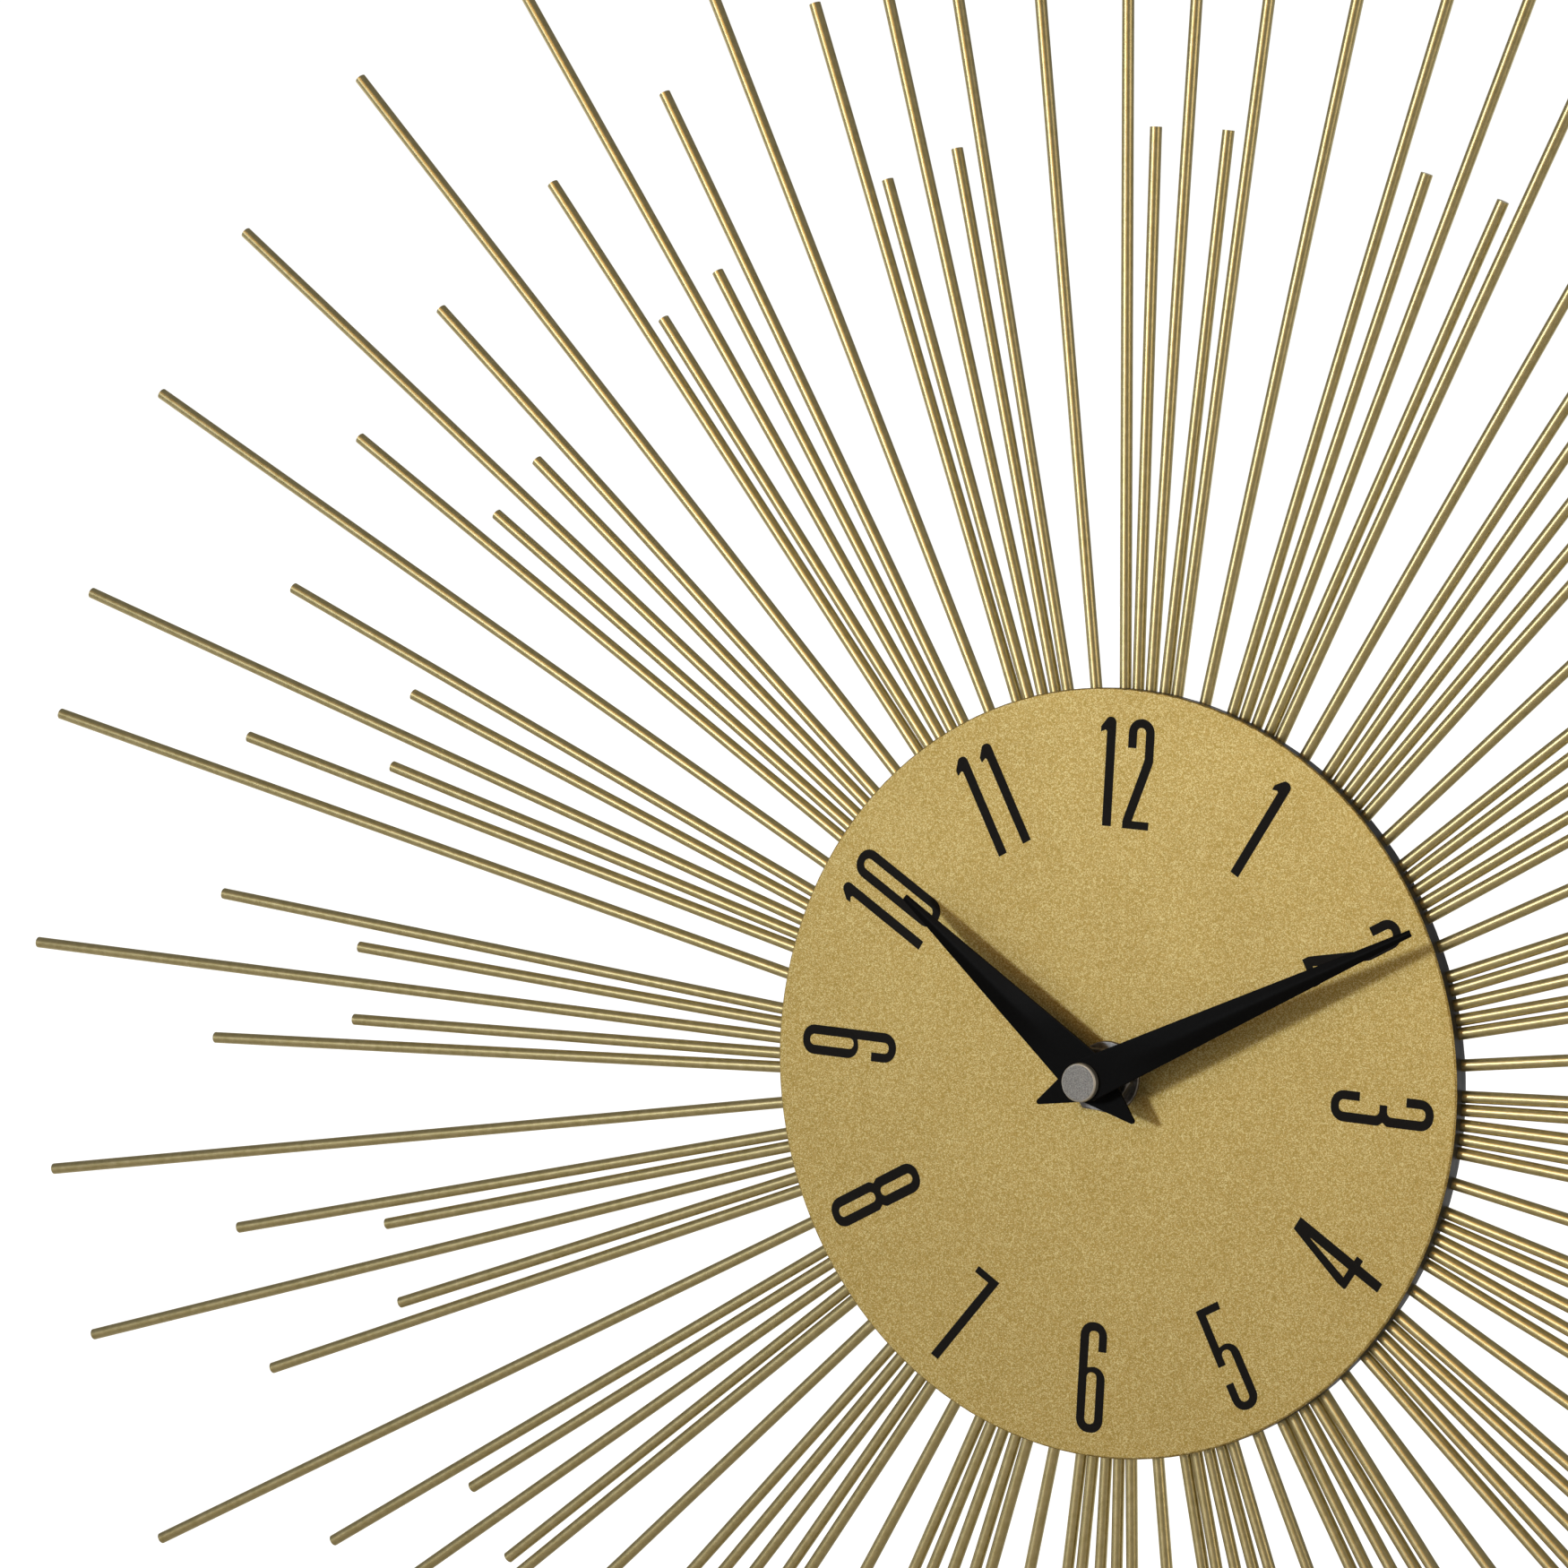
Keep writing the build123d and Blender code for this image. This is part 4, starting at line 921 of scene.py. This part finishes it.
# ------------------------------------------------------------------ clamp and movement
def blacken_side(plate: bpy.types.Object, lip_mm: float = 0.4, inside_mm: float = 60.0) -> None:
    """Paints a disc's side wall black as painted shade, behind a lip that keeps the face's paint.

    Args:
        plate: The disc.
        lip_mm: How far the face's paint runs over the edge.
        inside_mm: A radius between the disc's hole and its edge.
    """
    # painted shade: black enamel on the sideways faces behind the lip stands in for the shade on the dial's
    # side wall
    plate.data.materials.append(Stuff.BLACK_ENAMEL.value.material())
    front = min(vertex.co.y for vertex in plate.data.vertices)
    for face in plate.data.polygons:
        sideways = abs(face.normal.y) < 0.5
        outer = Vector((face.center.x, face.center.z)).length > inside_mm * MM
        behind_lip = face.center.y > front + lip_mm * MM
        face.material_index = 1 if sideways and outer and behind_lip else 0


class Softened(Enum):
    """CAD nodes with machined or moulded edges, which get a copy with rounded ones."""

    DIAL = ("dial_plate", "frame", "dial_paint", 0.2)
    BACKING = ("backing_plate", "frame", "black_paint", 0.25)
    NUT = ("hex_nut", "frame", "zinc_steel", 0.12)
    WASHER = ("dial_washer", "frame", "zinc_steel", 0.08)
    CASE = ("movement_case", "frame", "case_plastic", 0.3)
    COVER = ("rear_cover", "frame", "case_plastic", 0.2)
    GASKET = ("gasket", "frame", "rubber", 0.15)
    KNOB = ("setting_knob", "setting", "knob_plastic", 0.1)

    def build(self) -> bpy.types.Object:
        """Makes the copy, dresses it and puts it in its node's place."""
        node, body, slot, edge_mm = self.value
        stuff = next(stuff for stuff, names in NODE_STUFF.items() if node in names)
        piece = softened_copy(node, edge_mm)
        finish_piece(piece, f"rounded_{node}", body, stuff.value.material())
        # the dial's side wall gets painted shade
        if self is Softened.DIAL:
            blacken_side(piece)
        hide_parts(node)
        return piece


@dataclass(frozen=True)
class ThreadedBushing:
    """The brass tube through the plates: its thread shows in front of the nut."""

    radius_mm: float = 4.0
    thread_low_mm: float = 24.2
    front_mm: float = 26.5
    pitch_mm: float = 0.8
    depth_mm: float = 0.35
    groove_mm: float = 0.24
    past_mm: float = 1.0  # how far the cutting ring reaches beyond the tube

    def build(self) -> bpy.types.Object:
        """Cuts the thread's grooves into a copy of the tube and returns it."""
        piece = softened_copy("threaded_bushing", 0.1)
        groove_count = int((self.front_mm - self.thread_low_mm) / self.pitch_mm)
        for k in range(groove_count):
            middle = self.front_mm - (k + 0.75) * self.pitch_mm
            half = self.groove_mm / 2
            ring = cylinder(self.radius_mm + self.past_mm, middle - half, middle + half, sides=64)
            core = cylinder(self.radius_mm - self.depth_mm, middle - 0.5, middle + 0.5, sides=64)
            drill(ring, core)
            drill(piece, ring)
        smooth(piece, 30.0)
        finish_piece(piece, "threaded_tube", "frame", Stuff.BRASS.value.material())
        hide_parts("threaded_bushing")
        return piece


@dataclass(frozen=True)
class Battery:
    """A cylindrical cell along X: a film round its can, a steel rim at each end and a stepped nub."""

    left_mm: float = -23.9
    height_mm: float = 7.7
    up_mm: float = -19.6
    radius_mm: float = 7.1
    length_mm: float = 50.2
    nub_radius_mm: float = 2.65
    nub_mm: float = 1.2
    bare_mm: Point = (1.05, 1.35)  # bare steel beyond the film, at the left end and at the right

    def profile(self) -> list[Point]:
        """Returns the cell's outline from its left end's middle to the nub's, along and out."""
        right = self.length_mm - self.nub_mm
        r = self.radius_mm
        return [
            (0.35, 0.0), (0.35, r - 2.2), (0.0, r - 1.9), (0.0, r - 0.95), (0.3, r - 0.35), (0.85, r - 0.2),
            (1.0, r), (right - 1.3, r), (right - 1.15, r - 0.2), (right - 0.75, r - 0.45),
            (right - 0.25, r - 0.7), (right, r - 1.2), (right - 0.3, r - 1.5),
            (right - 0.3, self.nub_radius_mm + 0.35),
            (right - 0.1, self.nub_radius_mm), (self.length_mm - 0.25, self.nub_radius_mm - 0.1),
            (self.length_mm, self.nub_radius_mm - 0.4), (self.length_mm, 0.0),
        ]

    def build(self) -> bpy.types.Object:
        """Spins the outline into the cell, dresses its film and its bare steel, and returns it."""
        points = self.profile()
        deselect()
        bpy.ops.mesh.primitive_circle_add(vertices=3, radius=MM)
        piece = bpy.context.object
        bpy.ops.object.mode_set(mode="EDIT")
        bpy.ops.mesh.select_all(action="SELECT")
        bpy.ops.mesh.merge(type="CENTER")
        bpy.ops.transform.translate(value=(points[0][0] * MM, 0.0, points[0][1] * MM))
        for (along, out), (next_along, next_out) in zip(points, points[1:]):
            bpy.ops.mesh.extrude_vertices_move(
                TRANSFORM_OT_translate={"value": ((next_along - along) * MM, 0.0, (next_out - out) * MM)}
            )
        bpy.ops.mesh.select_all(action="SELECT")
        bpy.ops.mesh.spin(steps=64, angle=2 * pi, center=(0.0, 0.0, 0.0), axis=(1.0, 0.0, 0.0))
        bpy.ops.mesh.select_all(action="SELECT")
        bpy.ops.mesh.remove_doubles(threshold=0.004 * MM)
        bpy.ops.mesh.normals_make_consistent(inside=False)
        bpy.ops.object.mode_set(mode="OBJECT")
        piece.location = (self.left_mm * MM, -self.height_mm * MM, self.up_mm * MM)
        settle(piece)
        smooth(piece, 35.0)
        finish_piece(piece, "cell", "battery", Stuff.CELL.value.material())
        piece.data.materials.append(Stuff.NICKEL_CAN.value.material())
        low = (self.left_mm + self.bare_mm[0] - 0.1) * MM
        high = (self.left_mm + self.length_mm - self.nub_mm - self.bare_mm[1] + 0.1) * MM
        for face in piece.data.polygons:
            face.material_index = 0 if low < face.center.x < high else 1
        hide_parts("battery_cell")
        return piece


# ------------------------------------------------------------------ carried-over nodes
class Frame:
    """The CAD nodes that keep their shape and get a better finish."""

    def build(self) -> None:
        """Dresses every node."""
        for stuff, names in NODE_STUFF.items():
            for name in names:
                dress(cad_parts[name], stuff.value.material())
                LOG.info("%s: %s", name, stuff.value.name)
        for name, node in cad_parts.items():
            if name.startswith("ray_sector"):
                dress(node, Stuff.ROD_GOLD.value.material())


# ------------------------------------------------------------------ studio
def direction(azimuth_deg: float, elevation_deg: float) -> Vector:
    """Works out the unit vector from the dial out into the room.

    Args:
        azimuth_deg: The turn from the dial's normal towards +X.
        elevation_deg: The rise above the level.

    Returns:
        The vector.
    """
    a, e = radians(azimuth_deg), radians(elevation_deg)
    return Vector((sin(a) * cos(e), -cos(a) * cos(e), sin(e)))


@dataclass(frozen=True)
class Lamp:
    """A square soft light that faces the dial."""

    name: str
    azimuth_deg: float  # from the dial's normal towards +X
    elevation_deg: float
    distance_m: float
    size_m: float
    watts: float
    colour: str

    def build(self) -> None:
        """Adds the light."""
        data = bpy.data.lights.new(self.name, "AREA")
        data.size = self.size_m
        data.energy = self.watts
        data.color = linear(self.colour)[:3]
        light = bpy.data.objects.new(self.name, data)
        bpy.context.scene.collection.objects.link(light)
        back = direction(self.azimuth_deg, self.elevation_deg)
        turn = back.to_track_quat("Z", "Y").to_matrix().to_4x4()
        light.matrix_world = Matrix.Translation(back * self.distance_m) @ turn


LAMPS = (
    Lamp("key_light", -24.0, 6.0, 1.6, 0.18, 6.1, "eaf4ff"),
    Lamp("top_fill", -8.0, 22.0, 1.5, 0.9, 4.2, "ffca74"),
    Lamp("right_fill", 80.0, 8.0, 1.6, 0.6, 4.0, "fff0d8"),
)


@dataclass(frozen=True)
class Studio:
    """The camera, the lights and the pale floor."""

    azimuth_deg: float = 32.05
    elevation_deg: float = 4.18
    roll_deg: float = 2.72
    distance_mm: float = 1000.5
    aim_mm: tuple[float, float, float] = (-65.0, -23.3, 43.4)
    lens_mm: float = 135.45
    floor_drop_mm: float = 60.0
    floor_size_m: float = 16.0
    sky_rise: Point = (0.8, 0.96)
    sky_strength: Point = (0.25, 1.05)
    floor_rise_m: Point = (0.1, 0.9)
    floor_strength: Point = (0.0, 0.95)

    def away(self) -> Vector:
        """Returns the direction from the aim point to the camera."""
        return direction(self.azimuth_deg, self.elevation_deg)

    def camera(self) -> None:
        """Sets up the camera."""
        data = bpy.data.cameras.new("camera")
        data.lens = self.lens_mm
        data.sensor_width = 36.0
        data.clip_start = 0.05
        data.clip_end = 60.0
        camera = bpy.data.objects.new("camera", data)
        bpy.context.scene.collection.objects.link(camera)
        back = self.away()
        right = (-back).cross(Vector((0, 0, 1))).normalized()
        up = right.cross(-back)
        roll = radians(self.roll_deg)
        rolled_right = right * cos(roll) + up * sin(roll)
        rolled_up = up * cos(roll) - right * sin(roll)
        turn = Matrix((rolled_right, rolled_up, back)).transposed().to_4x4()
        place = Vector(self.aim_mm) * MM + back * self.distance_mm * MM
        camera.matrix_world = Matrix.Translation(place) @ turn
        bpy.context.scene.camera = camera

    def behind(
        self, made: bpy.types.Material, place: bpy.types.NodeSocket, rise: Point, strength: Point
    ) -> bpy.types.NodeSocket:
        """Adds nodes for a strength that rises on the far side of the clock.

        Args:
            made: The material or world that the nodes go into.
            place: A place or direction.
            rise: Where the rise starts and ends, measured away from the camera.
            strength: The strength before the rise and after it.

        Returns:
            The strength.
        """
        depth = add_node(
            made, "ShaderNodeVectorMath", {"operation": "DOT_PRODUCT", 1: tuple(-self.away())}, {0: place}
        )
        return add_node(
            made, "ShaderNodeMapRange",
            {"From Min": rise[0], "From Max": rise[1], "To Min": strength[0], "To Max": strength[1]},
            {"Value": depth.outputs["Value"]},
        ).outputs[0]

    def world(self) -> None:
        """Sets a pale surround that is brightest behind the clock."""
        world = bpy.data.worlds.new("studio")
        world.use_nodes = True
        world.node_tree.nodes.clear()
        bpy.context.scene.world = world
        place = add_node(world, "ShaderNodeTexCoord").outputs["Generated"]
        strength = self.behind(world, place, self.sky_rise, self.sky_strength)
        glow = add_node(world, "ShaderNodeBackground", {"Color": linear("ffffff")}, {"Strength": strength})
        add_node(world, "ShaderNodeOutputWorld", links={"Surface": glow.outputs[0]})

    def floor(self) -> None:
        """Lays a pale floor, lit up where it lies behind the clock."""
        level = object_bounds()[0][2] - self.floor_drop_mm * MM
        bpy.ops.mesh.primitive_plane_add(size=self.floor_size_m, location=(0.0, 0.0, level))
        floor = settle(bpy.context.object)
        floor.name = "floor"
        material = bpy.data.materials.new("white_floor_paint")
        material.use_nodes = True
        material.node_tree.nodes.clear()
        place = add_node(material, "ShaderNodeTexCoord").outputs["Object"]
        strength = self.behind(material, place, self.floor_rise_m, self.floor_strength)
        paint = add_node(material, "ShaderNodeBsdfDiffuse", {"Color": linear("eeeeec")})
        glow = add_node(material, "ShaderNodeEmission", {"Color": linear("ffffff")}, {"Strength": strength})
        both = add_node(material, "ShaderNodeAddShader", links={0: paint.outputs[0], 1: glow.outputs[0]})
        add_node(material, "ShaderNodeOutputMaterial", links={"Surface": both.outputs[0]})
        dress(floor, material)
        floor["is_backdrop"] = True

    def build(self) -> None:
        """Sets up everything round the clock."""
        bpy.context.scene.view_settings.view_transform = "Standard"
        self.camera()
        for lamp in LAMPS:
            lamp.build()
        self.world()
        self.floor()


def main() -> None:
    """Builds the sub-assemblies in order."""
    logging.basicConfig(level=logging.INFO, format="%(name)s: %(message)s")
    Studio().build()
    Frame().build()
    Dial().build()
    for hand in HANDS:
        hand.build()
    for node in Softened:
        node.build()
    ThreadedBushing().build()
    Battery().build()


if __name__ == "__main__":
    main()
